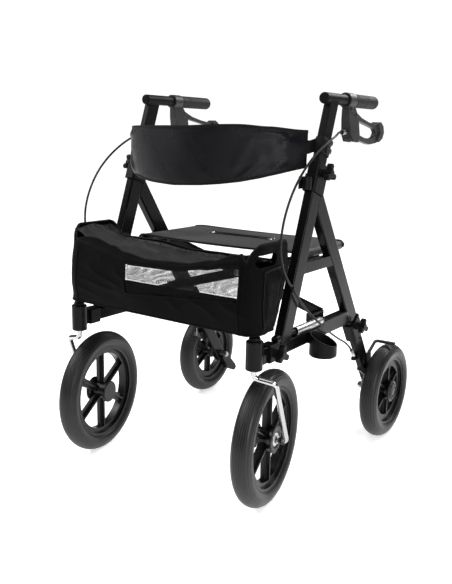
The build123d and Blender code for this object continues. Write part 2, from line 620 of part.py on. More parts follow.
def rear_axle():
    """Axle bolt through the lower leg and the rear hub, with its cap outside and nut inside."""
    axle = rod_x(REAR_Y, REAR_Z, 6, FRAME_X - 34, REAR_X + 26)
    cap = rod_x(REAR_Y, REAR_Z, 17, REAR_X + 20.5, REAR_X + 26)
    cap = fillet(cap.edges().group_by(Axis.X)[-1], 2)
    spacer = rod_x(REAR_Y, REAR_Z, 9, FRAME_X + 8.7, REAR_X - 20.5)
    plane = Plane(origin=(FRAME_X - 31, REAR_Y, REAR_Z), x_dir=(0, 1, 0), z_dir=(1, 0, 0))
    nut = extrude(plane * RegularPolygon(9, 6), amount=8)
    return axle + cap + spacer + nut


# ---- knobs ---------------------------------------------------------------------------
def wing_knob(y, z, stud_tip_x):
    """Three-lobed hand knob on a threaded stud that points at the frame."""
    base_x = FRAME_X + TUBE_W / 2 + 9.4
    face = Circle(9.5)
    for i in range(3):
        lobe = Rot(0, 0, 90 + 120 * i) * (Pos(15, 0) * Circle(6.5) + Pos(9, 0) * Rectangle(14, 10))
        face = face + lobe
    plane = Plane(origin=(base_x, y, z), x_dir=(0, 1, 0), z_dir=(1, 0, 0))
    knob = extrude(plane * Pos(0, 0, 6) * face, amount=12)
    knob = fillet(knob.edges().group_by(Axis.X)[-1], 2)
    knob = knob + rod_x(y, z, 9, base_x, base_x + 7)
    return knob + rod_x(y, z, KNOB_STUD_R, stud_tip_x, base_x + 2)


# ---- storage bag ---------------------------------------------------------------------
def storage_bag():
    """Open-topped bag in front of the seat: floor, four walls, higher side panels, one hand-hole."""
    outer = [(-352, 412), (-362, 470), (-352, 585), (-192, 585), (-262, 412)]
    inner = [(-348, 416), (-358, 470), (-348, 600), (-186, 600), (-264.5, 416)]
    bag = side_shape(outer, -BAG_X, BAG_X)
    bag = bag - side_shape(inner, BAG_WALL - BAG_X, BAG_X - BAG_WALL)
    sag = block((-BAG_X + 40, BAG_X - 40), (-380, -150), (545, 600))
    bag = bag - sag
    hand_hole = side_shape([(-336, 546), (-336, 567), (-266, 567), (-266, 546)], 200, 300, 8)
    return bag - hand_hole


# ---- write the nodes -----------------------------------------------------------------
os.makedirs("parts", exist_ok=True)

save_pair("front_leg", front_leg())
save_pair("rear_leg", rear_leg())
save_pair("bottom_rail", bottom_rail())
save_pair("seat_side_rail", seat_side_rail())
save_pair("height_collar", height_collar())
save_pair("rear_collar", rear_collar())
save_pair("front_clamp", front_clamp())
save("cane_clip", cane_clip())
save("cane_cup", cane_cup())
save("storage_bag", storage_bag())

save("cross_bar_a", cross_bar(*BAR_A_Y))
save("cross_bar_b", mirrored(cross_bar(*BAR_B_Y)))
save("cross_bolt", pivot_bolt())
save("seat", seat())
save("seat_strap", seat_strap())

save_pair("handle_post", handle_post())
save_pair("grip", grip())
save_pair("brake_housing", brake_housing())
save_pair("brake_lever", brake_lever())
save_pair("cable_upper", cable(CABLE_UPPER))
save_pair("cable_lower", cable(CABLE_LOWER))
save("backrest", backrest())

save_pair("lower_leg", lower_leg())
save_pair("brake_arm", brake_arm())
rear_place = Pos(REAR_X, REAR_Y, REAR_Z)
save_pair("rear_rim", rear_place * rear_rim())
save_pair("rear_tyre", rear_place * tyre(REAR_R, REAR_RIM_R))
save_pair("rear_axle", rear_axle())

save_pair("front_arm", front_arm())
caster_parts = {
    "caster_fork": caster_fork(),
    "front_rim": straight_front_wheel(front_rim()),
    "front_tyre": straight_front_wheel(tyre(FRONT_R, FRONT_RIM_R)),
}
for name, shape in caster_parts.items():
    for side, end in ((1, "_right"), (-1, "_left")):
        placed = shape if side > 0 else mirrored(shape)
        axis = Axis((side * CASTER[0], CASTER[1], 0), (0, 0, 1))
        save(name + end, placed.rotate(axis, CASTER_TURN))

post_face = FRAME_X + TUBE_W / 2 - WALL - SLIDE_GAP + 0.3
save_pair("height_knob", wing_knob(front_y(KNOB_Z), KNOB_Z, post_face))
save_pair("rear_knob", wing_knob(rear_y(REAR_KNOB_Z), REAR_KNOB_Z, post_face))
save_pair("front_knob", wing_knob(FRONT_KNOB_Y, mid_rail(), post_face))
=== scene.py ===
import json
import math
from contextlib import contextmanager

import bpy
import bmesh
from mathutils import Matrix, Vector, noise


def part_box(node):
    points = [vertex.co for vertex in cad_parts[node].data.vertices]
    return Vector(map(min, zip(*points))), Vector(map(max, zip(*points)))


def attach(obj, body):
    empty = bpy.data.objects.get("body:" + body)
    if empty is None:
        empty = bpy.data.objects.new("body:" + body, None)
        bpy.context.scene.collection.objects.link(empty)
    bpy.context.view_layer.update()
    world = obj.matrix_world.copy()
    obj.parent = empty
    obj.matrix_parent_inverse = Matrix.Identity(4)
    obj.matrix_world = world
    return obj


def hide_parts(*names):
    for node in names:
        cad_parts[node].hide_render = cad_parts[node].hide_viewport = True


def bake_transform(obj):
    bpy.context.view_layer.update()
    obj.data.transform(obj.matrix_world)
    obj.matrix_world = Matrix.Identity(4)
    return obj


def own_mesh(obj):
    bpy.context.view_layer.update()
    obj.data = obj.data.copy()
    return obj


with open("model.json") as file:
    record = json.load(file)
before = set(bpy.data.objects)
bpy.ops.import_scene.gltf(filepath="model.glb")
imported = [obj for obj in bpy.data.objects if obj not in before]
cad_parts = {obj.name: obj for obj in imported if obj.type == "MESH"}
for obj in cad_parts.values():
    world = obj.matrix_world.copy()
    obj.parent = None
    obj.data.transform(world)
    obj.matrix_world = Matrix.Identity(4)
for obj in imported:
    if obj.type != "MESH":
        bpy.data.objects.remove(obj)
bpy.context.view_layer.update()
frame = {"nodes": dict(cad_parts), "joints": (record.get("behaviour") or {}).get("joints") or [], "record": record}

# The walker stands on z = 0, rolls towards -Y, and +X is the user's left. Metres throughout.
JOINTS = {j["name"]: j for j in frame["joints"]}
SIDES = (("right", 1.0), ("left", -1.0))
FRAME_X = 0.255               # middle plane of each side frame


def scene_object(name, data):
    obj = bpy.data.objects.new(name, data)
    bpy.context.scene.collection.objects.link(obj)
    return obj


# ---- camera, light and floor ---------------------------------------------------------
ROOM_LIGHT = 0.06             # strength of the world for everything but the camera
WHITE = 1.05                  # strength of the backdrop that the camera sees
FLOOR_GLOW = 0.56
FLOOR_HALF = 30.0
EYE = (0.997, -1.540, 0.806)
CENTRE = (0, 0, 0.5)          # where the lamps point
LAMPS = (
    # name, place, width and height, power
    ("key", (-2.6, -1.3, 2.6), (1.2, 1.2), 80),
    ("side", (2.4, -1.25, 1.45), (0.45, 1.7), 40),
    ("back", (0.8, 2.4, 2.4), (2.0, 0.8), 60),
)


def add_camera():
    """Front three-quarter view from the walker's +X side, a little above the handles' height."""
    azimuth, pitch, roll = 34.11, 12.38, 1.207
    data = bpy.data.cameras.new("camera")
    data.lens = 44.93
    camera = scene_object("camera", data)
    turn = Matrix.Rotation(math.radians(azimuth), 4, "Z")
    tilt = Matrix.Rotation(math.radians(90 - pitch), 4, "X")
    bank = Matrix.Rotation(math.radians(roll), 4, "Z")
    camera.matrix_world = Matrix.Translation(EYE) @ turn @ tilt @ bank
    bpy.context.scene.camera = camera


def add_lamp(name, place, size, power):
    data = bpy.data.lights.new(name, "AREA")
    data.shape = "RECTANGLE"
    data.size, data.size_y = size
    data.energy = power
    lamp = scene_object(name, data)
    lamp.location = place
    lamp.rotation_euler = (Vector(CENTRE) - Vector(place)).to_track_quat("-Z", "Y").to_euler()


def add_studio():
    """White sweep: the camera sees a white backdrop, and the room around is dimmer, so blacks stay deep."""
    scene = bpy.context.scene
    scene.view_settings.view_transform = "Standard"
    world = bpy.data.worlds.new("studio")
    world.use_nodes = True
    tree = world.node_tree
    background = tree.nodes["Background"]
    background.inputs["Color"].default_value = (1.0, 1.0, 1.0, 1.0)
    path = tree.nodes.new("ShaderNodeLightPath")
    strength = tree.nodes.new("ShaderNodeMapRange")
    strength.inputs["To Min"].default_value = ROOM_LIGHT
    strength.inputs["To Max"].default_value = WHITE
    tree.links.new(path.outputs["Is Camera Ray"], strength.inputs["Value"])
    tree.links.new(strength.outputs["Result"], background.inputs["Strength"])
    scene.world = world
    for lamp in LAMPS:
        add_lamp(*lamp)
    sun = bpy.data.lights.new("sky", "SUN")
    sun.energy = 1.7
    sun.angle = math.radians(70)
    scene_object("sky", sun).rotation_euler = (math.radians(12), math.radians(-8), 0)
    material = bpy.data.materials.new("studio_floor")
    material.use_nodes = True
    shader = material.node_tree.nodes["Principled BSDF"]
    shader.inputs["Base Color"].default_value = (0.95, 0.95, 0.95, 1)
    shader.inputs["Roughness"].default_value = 0.9
    shader.inputs["Specular IOR Level"].default_value = 0.1
    shader.inputs["Emission Color"].default_value = (1, 1, 1, 1)
    shader.inputs["Emission Strength"].default_value = FLOOR_GLOW
    floor = bpy.data.meshes.new("studio_floor")
    corners = [(x * FLOOR_HALF, y * FLOOR_HALF, 0) for x, y in ((-1, -1), (1, -1), (1, 1), (-1, 1))]
    floor.from_pydata(corners, [], [(0, 1, 2, 3)])
    floor.materials.append(material)
    scene_object("studio_floor", floor)


add_camera()
add_studio()


# ---- materials -----------------------------------------------------------------------
MATERIALS = {}                # by the name of the look


class Nodes:
    """Short way to make a material of this name, add nodes to it and join them."""

    def __init__(self, name):
        self.material = MATERIALS[name] = bpy.data.materials.new(name)
        self.material.use_nodes = True
        self.tree = self.material.node_tree
        self.shader = self.tree.nodes["Principled BSDF"]
        self.place = self.add("ShaderNodeTexCoord").outputs["Object"]

    def add(self, kind, **values):
        node = self.tree.nodes.new(kind)
        for key, value in values.items():
            if key in node.inputs.keys():
                node.inputs[key].default_value = value
            else:
                setattr(node, key, value)
        return node

    def link(self, a, b):
        self.tree.links.new(a, b)

    def set(self, **values):
        """Uniform numbers on the shader's own sockets: an underscore stands for a space."""
        for key, value in values.items():
            self.shader.inputs[key.replace("_", " ")].default_value = value

    def noise(self, scale, detail=3.0):
        node = self.add("ShaderNodeTexNoise", Scale=scale, Detail=detail)
        self.link(self.place, node.inputs["Vector"])
        return node.outputs["Fac"]

    def product(self, first, second):
        node = self.add("ShaderNodeMath", operation="MULTIPLY")
        self.link(first, node.inputs[0])
        self.link(second, node.inputs[1])
        return node.outputs[0]

    def spread(self, value, low, high, low_out, high_out):
        node = self.add("ShaderNodeMapRange")
        for key, number in (("From Min", low), ("From Max", high), ("To Min", low_out), ("To Max", high_out)):
            node.inputs[key].default_value = number
        self.link(value, node.inputs["Value"])
        return node.outputs["Result"]

    def colours(self, value, first, second):
        node = self.add("ShaderNodeMix", data_type="RGBA")
        node.inputs[6].default_value = (*first, 1)
        node.inputs[7].default_value = (*second, 1)
        self.link(value, node.inputs[0])
        return node.outputs[2]

    def bump(self, height, distance, strength=1.0, under=None):
        node = self.add("ShaderNodeBump", Distance=distance, Strength=strength)
        self.link(height, node.inputs["Height"])
        if under is not None:
            self.link(under, node.inputs["Normal"])
        return node.outputs["Normal"]

    def finish(self, colour, rough, normal):
        for name, value in (("Base Color", colour), ("Roughness", rough), ("Normal", normal)):
            self.link(value, self.shader.inputs[name])


EDGE_R = 0.0020               # radius of the softening of sharp edges


def rounded_edge(n):
    """Normal of the surface with its sharp edges softened, and how near an edge each point is."""
    soft = n.add("ShaderNodeBevel", samples=4)
    soft.inputs["Radius"].default_value = EDGE_R
    flat = n.add("ShaderNodeNewGeometry")
    dot = n.add("ShaderNodeVectorMath", operation="DOT_PRODUCT")
    n.link(soft.outputs["Normal"], dot.inputs[0])
    n.link(flat.outputs["Normal"], dot.inputs[1])
    return soft.outputs["Normal"], dot.outputs["Value"]


def painted_edge_highlight(n, colour, edge_highlight, amount, nearness):
    """Painted highlight: a lighter colour along sharp edges, broken up by a fine noise."""
    edge = n.spread(nearness, 0.985, 0.86, 0.0, amount)
    patchy = n.spread(n.noise(90, 4), 0.35, 0.6, 0.25, 1.0)
    mix = n.add("ShaderNodeMix", data_type="RGBA")
    n.link(n.product(edge, patchy), mix.inputs[0])
    n.link(colour, mix.inputs[6])
    mix.inputs[7].default_value = (*edge_highlight, 1)
    return mix.outputs[2]


def even(name, cloud, grain, dark, light, rough, bump, edge_highlight=None, **shader):
    """Surface with a faint cloud of colour and gloss and a fine grain, and with a painted highlight, a lighter
    colour along sharp edges, when its colour and amount are given.
    """
    n = Nodes(name)
    clouds, grains = n.noise(*cloud), n.noise(*grain)
    n.set(**shader)
    colour = n.colours(clouds, dark, light)
    soft = None
    if edge_highlight:
        soft, nearness = rounded_edge(n)
        colour = painted_edge_highlight(n, colour, *edge_highlight, nearness)
    n.finish(colour, n.spread(clouds, 0.3, 0.7, *rough), n.bump(grains, *bump, under=soft))


def black_tube(name="black_tube", rough=(0.17, 0.26), coat=0.05):
    """Satin black anodised aluminium."""
    # The last pair is a painted highlight: a lighter colour along the tube's sharp edges, and its amount.
    even(name, (14, 4), (900, 2), (0.0022, 0.0022, 0.0025), (0.0042, 0.0042, 0.0046), rough,
         (0.00006, 0.5), ((0.05, 0.05, 0.052), 0.6),
         Specular_IOR_Level=0.08, Coat_Weight=coat, Coat_Roughness=0.12)


def moulded(name="moulded_plastic", dark=0.0030, light=0.0055, rough=(0.36, 0.48), shine=0.09):
    """Fine-grained black moulding."""
    # The last pair is a painted highlight: a lighter colour along sharp edges, and its amount.
    even(name, (30, 3), (1500, 2), (dark, dark, dark * 1.04), (light, light, light * 1.04), rough,
         (0.0001, 0.5), ((0.04, 0.04, 0.04), 0.3), Specular_IOR_Level=shine)


def grip_rubber():
    even("grip_rubber", (40, 4), (2200, 2), (0.0075, 0.0075, 0.008), (0.013, 0.013, 0.0135),
         (0.55, 0.72), (0.00015, 0.6), Specular_IOR_Level=0.22)


def tyre_rubber():
    """Dark grey rubber with a little dust."""
    n = Nodes("tyre_rubber")
    cloud = n.noise(18, 6)
    colour = n.colours(n.spread(cloud, 0.35, 0.7, 0, 1), (0.0050, 0.0050, 0.0053), (0.0095, 0.0093, 0.0092))
    n.set(Specular_IOR_Level=0.34)
    n.finish(colour, n.spread(cloud, 0.3, 0.7, 0.34, 0.48), n.bump(n.noise(1200, 3), 0.00012, 0.5))


def bright_metal(name, colour, low, high, grain_scale=300.0, strength=0.25):
    """Bare or plated metal with fine scratches."""
    n = Nodes(name)
    n.set(Metallic=1.0)
    scratch = n.noise(grain_scale, 6)
    tone = n.colours(n.noise(25, 4), tuple(c * 0.82 for c in colour), colour)
    n.finish(tone, n.spread(scratch, 0.3, 0.7, low, high), n.bump(scratch, 0.00003, strength))


def weave(n, size):
    """Height of a plain weave with threads of this size, in the object's own space."""
    lines = []
    for axis in ("X", "Z"):
        wave = n.add("ShaderNodeTexWave", wave_type="BANDS", bands_direction=axis, Distortion=0.6)
        wave.inputs["Scale"].default_value = 1.0 / (size * 6.2832) * 2.0
        wave.inputs["Detail"].default_value = 1.0
        n.link(n.place, wave.inputs["Vector"])
        lines.append(wave.outputs["Fac"])
    return n.product(*lines)


def cloth(name, dark, light, size=0.0011, sheen=0.03, rough=(0.5, 0.7), depth=0.00025, shine=0.15):
    """Woven nylon: threads, soft creases and a slightly uneven colour."""
    n = Nodes(name)
    cloud = n.noise(7, 5)
    crease = n.noise(26, 3)
    threads = weave(n, size)
    n.set(Sheen_Weight=sheen, Sheen_Roughness=0.45, Specular_IOR_Level=shine)
    colour = n.colours(n.spread(cloud, 0.3, 0.7, 0, 1), dark, light)
    normal = n.bump(threads, depth, 0.6, under=n.bump(crease, 0.0016, 0.35))
    n.finish(colour, n.spread(cloud, 0.3, 0.7, *rough), normal)


def make_materials():
    black_tube()
    black_tube("post_tube", (0.42, 0.52), 0.0)
    grip_rubber()
    tyre_rubber()
    moulded()
    moulded("cable_jacket", 0.004, 0.007, (0.35, 0.45), 0.25)
    moulded("brake_steel", 0.012, 0.018, (0.26, 0.38), 0.45)
    moulded("rim_plastic", 0.0022, 0.0042, (0.26, 0.38), 0.26)
    moulded("lever_plastic", 0.016, 0.024, (0.40, 0.52), 0.32)
    moulded("net", 0.003, 0.006, (0.5, 0.6), 0.1)
    bright_metal("fastener_steel", (0.34, 0.34, 0.35), 0.26, 0.40)
    bright_metal("chrome_rod", (0.50, 0.50, 0.51), 0.10, 0.18, 160, 0.1)
    bright_metal("sleeve_metal", (0.62, 0.62, 0.63), 0.30, 0.42, 220, 0.3)
    cloth("bag_fabric", (0.0009, 0.0009, 0.0010), (0.0022, 0.0022, 0.0024), sheen=0.004, shine=0.04)
    # Lid and seat get lighter colours than the other black fabrics: painted light, standing in for the light that
    # falls on these up-facing surfaces.
    cloth("lid_fabric", (0.0075, 0.0075, 0.008), (0.014, 0.014, 0.0145), shine=0.22)
    cloth("seat_fabric", (0.040, 0.040, 0.041), (0.058, 0.058, 0.059), 0.0014, shine=0.3)
    cloth("webbing", (0.0024, 0.0024, 0.0025), (0.005, 0.005, 0.0052), 0.0018, 0.01, depth=0.0004, shine=0.1)
    cloth("backrest_fabric", (0.0010, 0.0010, 0.0020), (0.0026, 0.0026, 0.0046), 0.0010, 0.006,
          (0.22, 0.32), shine=0.16)


make_materials()
MATERIALS["frame_tube"] = MATERIALS["black_tube"]
for part in frame["record"]["subparts"]:
    node = frame["nodes"][part["node"]]
    node.data.materials.clear()
    look = part["material_slot"]
    if part["node"].startswith(("brake_housing", "brake_lever")):
        look = "lever_plastic"
    if part["node"].startswith("handle_post"):
        look = "post_tube"
    node.data.materials.append(MATERIALS[look])


# ---- mesh helpers --------------------------------------------------------------------
def piece(name, verts, faces, slot, smooth=True):
    mesh = bpy.data.meshes.new(name)
    mesh.from_pydata([tuple(v) for v in verts], [], faces)
    mesh.validate()
    mesh.update()
    mesh.materials.append(MATERIALS[slot])
    if smooth:
        mesh.polygons.foreach_set("use_smooth", [True] * len(mesh.polygons))
    return scene_object(name, mesh)


def quads(rows, ring, wrap_rows=False, base=0):
    """Faces between neighbouring rings of points, which are stored one ring after the other."""
    faces = []
    for i in range(rows if wrap_rows else rows - 1):
        here, there = base + i * ring, base + (i + 1) % rows * ring
        for k in range(ring):
            after = (k + 1) % ring
            faces.append((here + k, here + after, there + after, there + k))
    return faces


def prism_faces(count):
    """Faces of a prism whose two outlines have this many points each."""
    faces = [tuple(range(count)), tuple(range(count, 2 * count))[::-1]]
    return faces + [(i, i + count, (i + 1) % count + count, (i + 1) % count) for i in range(count)]


def tube(name, verts, ring, slot):
    """Tube through rings of points, with a face at each end."""
    count = len(verts)
    faces = quads(count // ring, ring)
    faces.append(tuple(range(ring))[::-1])
    faces.append(tuple(range(count - ring, count)))
    return piece(name, verts, faces, slot)


@contextmanager
def edited(mesh):
    """The mesh as a bmesh, written back at the end."""
    bm = bmesh.new()
    bm.from_mesh(mesh)
    yield bm
    bm.to_mesh(mesh)
    bm.free()


def neighbours(points):
    """Each point with its direction along the line."""
    last = len(points) - 1
    for i, point in enumerate(points):
        yield point, (points[min(i + 1, last)] - points[max(i - 1, 0)]).normalized()


def swept(name, points, section, slot):
    """Tube of any section along points. The section is a list of (across, up) offsets."""
    verts = []
    side = None
    for point, ahead in neighbours(points):
        if side is None:
            side = ahead.orthogonal().normalized()
        side = (side - ahead * side.dot(ahead)).normalized()
        up = ahead.cross(side)
        verts += [point + side * a + up * b for a, b in section]
    return tube(name, verts, len(section), slot)


def circle(radius, count=14):
    return [(radius * math.cos(2 * math.pi * i / count), radius * math.sin(2 * math.pi * i / count))
            for i in range(count)]


def spline_points(name, route, steps=8):
    """Points along a smooth NURBS line whose control points are the route's."""
    curve = bpy.data.curves.new(name, "CURVE")
    curve.dimensions = "3D"
    curve.resolution_u = steps
    spline = curve.splines.new("NURBS")
    spline.points.add(len(route) - 1)
    for point, place in zip(spline.points, route):
        point.co = (*place, 1.0)
    spline.order_u = 3
    spline.use_endpoint_u = True
    obj = bpy.data.objects.new(name, curve)
    mesh = bpy.data.meshes.new_from_object(obj)
    points = [v.co.copy() for v in mesh.vertices]
    bpy.data.objects.remove(obj)
    return points


def mm(route, flip=1.0):
    return [(x * flip / 1000.0, y / 1000.0, z / 1000.0) for x, y, z in route]


def lathe(name, profile, centre, axis, slot, count=96):
    """Turn a closed (along, radius) outline about an axis."""
    axis = Vector(axis).normalized()
    side = axis.orthogonal().normalized()
    up = axis.cross(side)
    verts = []
    for i in range(count):
        angle = 2 * math.pi * i / count
        out = side * math.cos(angle) + up * math.sin(angle)
        verts += [Vector(centre) + axis * a + out * r for a, r in profile]
    return piece(name, verts, quads(count, len(profile), wrap_rows=True), slot)


# ---- brake cables --------------------------------------------------------------------
CABLE_UPPER = [
    (252, 18, 811), (255, -4, 810), (265, -28, 807), (275, -62, 800), (277, -103, 788),
    (277, -145, 769), (277, -187, 743), (276, -226, 710), (275, -257, 669), (274, -276, 624),
    (273, -280, 580), (272, -268, 541), (271, -246, 512), (271.2, -222, 490),
]
CABLE_LOWER = [
    (271.2, -214, 482), (273, -196, 463), (276, -166, 434), (278, -129, 407), (280, -91, 382),
    (280, -52, 358), (277, -11, 337), (271, 32, 318), (264, 76, 300), (258, 112, 281), (255, 139, 262),
    (255, 154, 244),
]
CABLE_UPPER_LENGTH = 0.533
CABLE_LOWER_LENGTH = 0.444
CABLE_RADIUS = 0.0025
FERRULE = [(-0.0010, 0.0026), (-0.0010, 0.0040), (0.0, 0.0044), (0.0050, 0.0044), (0.0058, 0.0037),
           (0.0135, 0.0035), (0.0145, 0.0026)]


def cable_end(side, points):
    """Bright ferrule, return spring and trimmed inner wire where a cable meets the lower leg."""
    end = points[-1]
    back = (points[-4] - end).normalized()
    ferrule = lathe(f"cable_ferrule_{side}", FERRULE, end, back, "sleeve_metal", 24)
    across = back.orthogonal().normalized()
    up = back.cross(across)
    turns, steps = 5, 16
    coil = []
    for k in range(turns * steps + 1):
        angle = 2 * math.pi * k / steps
        coil.append(end + back * (0.0155 + 0.0022 * k / steps)
                    + (across * math.cos(angle) + up * math.sin(angle)) * 0.0042)
    spring = swept(f"cable_spring_{side}", coil, circle(0.0006, 8), "sleeve_metal")
    stub = [end - back * 0.001]
    for k in range(1, 9):
        stub.append(end + Vector((0.0, 0.0035 - 0.0022 * (1 - k / 8) ** 2, -0.0045 * k)))
    wire = swept(f"cable_wire_end_{side}", stub, circle(0.0005, 8), "sleeve_metal")
    pieces = [ferrule, spring, wire]
    for obj in pieces:
        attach(obj, "lower_leg_" + side)
    return pieces


def add_cables():
    """Two stretches a side: handle to the clip on the leg, and clip to the lower leg's stop."""
    for side, sign in SIDES:
        for stretch, route, length, bodies in (
            ("upper", CABLE_UPPER, CABLE_UPPER_LENGTH, ("handle_" + side, "frame_" + side)),
            ("lower", CABLE_LOWER, CABLE_LOWER_LENGTH, ("frame_" + side, "lower_leg_" + side)),
        ):
            route = mm(route, sign)
            name = f"brake_cable_{stretch}_{side}"
            points = spline_points(name + "_line", route)
            cable = swept(name, points, circle(CABLE_RADIUS), "cable_jacket")
            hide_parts(f"cable_{stretch}_{side}")
            extras = cable_end(side, points) if stretch == "lower" else []
            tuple(points[0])
            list(bodies)
            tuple(route[1])
            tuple(route[-2])
            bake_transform(cable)


add_cables()

# ---- soft goods: shared shapes -------------------------------------------------------
def smooth(a, b, value):
    t = min(1.0, max(0.0, (value - a) / (b - a)))
    return t * t * (3 - 2 * t)


def along(table, x):
    """Smooth value at x of a short list of (x, value) stations."""
    if x <= table[0][0]:
        return table[0][1]
    for (x0, v0), (x1, v1) in zip(table, table[1:]):
        if x <= x1:
            return v0 + (v1 - v0) * smooth(x0, x1, x)
    return table[-1][1]


def wrinkle(point, size, seed):
    """Soft random height from -1 to 1."""
    return noise.noise(Vector(point) / size + Vector((seed * 7.1, seed * 3.3, seed * 5.7)))


def ridge(point, size, seed):
    """Narrow crests with wide troughs between them, from 0 to 1."""
    return (1.0 - abs(wrinkle(point, size, seed)) * 1.8) ** 3


def apply_modifiers(obj):
    graph = bpy.context.evaluated_depsgraph_get()
    mesh = bpy.data.meshes.new_from_object(obj.evaluated_get(graph))
    obj.modifiers.clear()
    obj.data = mesh


def thicken(obj, thickness):
    solid = obj.modifiers.new("thick", "SOLIDIFY")
    solid.thickness = thickness
    solid.offset = -1.0
    apply_modifiers(obj)


def cut(obj, cutter):
    tool = obj.modifiers.new("cut", "BOOLEAN")
    tool.object = cutter
    tool.operation = "DIFFERENCE"
    tool.solver = "EXACT"
    apply_modifiers(obj)
    bpy.data.objects.remove(cutter)


def shade_smooth(obj, angle):
    mesh = obj.data
    mesh.polygons.foreach_set("use_smooth", [True] * len(mesh.polygons))
    with edited(mesh) as bm:
        for edge in bm.edges:
            edge.smooth = not (len(edge.link_faces) == 2 and edge.calc_face_angle() > math.radians(angle))


def sheet_mesh(name, point, count_u, count_v, slot, close_u=False):
    """Grid of quads over point(u, v), u and v from 0 to 1."""
    verts, faces = [], []
    for i in range(count_u + (0 if close_u else 1)):
        verts += [point(i / count_u, j / count_v) for j in range(count_v + 1)]
    step = count_v + 1
    total = count_u if close_u else count_u + 1
    for i in range(count_u):
        for j in range(count_v):
            a, b = i * step + j, ((i + 1) % total) * step + j
            faces.append((a, b, b + 1, a + 1))
    return piece(name, verts, faces, slot)


def pinned_cloth(obj, held, frames, cap, settings, gravity=1.0, own_gap=None):
    """Run a cloth simulation with the held points pinned, and keep every point within cap of its start."""
    start = [v.co.copy() for v in obj.data.vertices]
    group = obj.vertex_groups.new(name="held")
    group.add([i for i, place in enumerate(start) if held(place)], 1.0, "REPLACE")
    cloth = obj.modifiers.new("cloth", "CLOTH")
    for key, value in settings.items():
        setattr(cloth.settings, key, value)
    cloth.settings.vertex_group_mass = "held"
    cloth.settings.effector_weights.gravity = gravity
    if own_gap is None:
        cloth.collision_settings.use_collision = False
    else:
        cloth.collision_settings.use_self_collision = True
        cloth.collision_settings.self_distance_min = own_gap
    scene = bpy.context.scene
    scene.frame_start, scene.frame_end = 1, frames
    cloth.point_cache.frame_start, cloth.point_cache.frame_end = 1, frames
    for frame_number in range(1, frames + 1):
        scene.frame_set(frame_number)
    graph = bpy.context.evaluated_depsgraph_get()
    moved = [v.co.copy() for v in obj.evaluated_get(graph).data.vertices]
    obj.modifiers.clear()
    obj.vertex_groups.clear()
    for vertex, before, after in zip(obj.data.vertices, start, moved):
        step = after - before
        if step.length > cap:
            step = step.normalized() * cap
        vertex.co = before + step
    scene.frame_set(1)


def arc(centre, radius, start, turn, steps=8):
    """Points in a plane along part of a circle, from the start angle through the turn."""
    angles = [start + turn * k / steps for k in range(steps + 1)]
    return [(centre[0] + radius * math.cos(a), centre[1] + radius * math.sin(a)) for a in angles]


def fold_with_frame(obj):
    """Give the piece its own copy of its mesh."""
    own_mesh(obj)


# ---- seat ----------------------------------------------------------------------------
SEAT_LOW, SEAT_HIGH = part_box("seat")
SEAT_TUBE_X = 0.220
SEAT_TUBE_Z = 0.537
SEAT_HEM_R = 0.0102
SEAT_WRAP = math.pi * 1.15    # how far each hem goes round its tube
SEAT_HEM = SEAT_HEM_R * SEAT_WRAP
SLOT = (-0.110, 0.080, 0.004, 0.026)
SLOT_CUT = (0.543, 0.560)     # heights of the slot's cutter


def seat_line(u):
    """Across the seat: from under one side tube, round it, over the top and round the other."""
    run = 2 * SEAT_TUBE_X
    place = u * (2 * SEAT_HEM + run)
    if place < SEAT_HEM:
        angle = math.pi / 2 + SEAT_WRAP * (1 - place / SEAT_HEM)
        return -SEAT_TUBE_X + SEAT_HEM_R * math.cos(angle), SEAT_TUBE_Z + SEAT_HEM_R * math.sin(angle)
    if place < SEAT_HEM + run:
        return -SEAT_TUBE_X + place - SEAT_HEM, SEAT_TUBE_Z + SEAT_HEM_R
    angle = math.pi / 2 - SEAT_WRAP * (place - SEAT_HEM - run) / SEAT_HEM
    return SEAT_TUBE_X + SEAT_HEM_R * math.cos(angle), SEAT_TUBE_Z + SEAT_HEM_R * math.sin(angle)


def seat_point(u, v):
    x, z = seat_line(u)
    front = SEAT_LOW.y + 0.006 * math.exp(-((abs(x) - 0.229) / 0.03) ** 2)
    rear = SEAT_HIGH.y - 0.022 * smooth(0.205, 0.232, abs(x))
    y = front + (rear - front) * v
    if z > SEAT_TUBE_Z + SEAT_HEM_R - 1e-5:
        middle = 1 - (x / SEAT_TUBE_X) ** 2
        edge = 1 - abs(2 * v - 1) ** 6
        z += 0.0040 * middle * edge - 0.0035 * middle
        z += 0.0009 * wrinkle((x, y, 0), 0.09, 1) * edge
    return Vector((x, y, z))


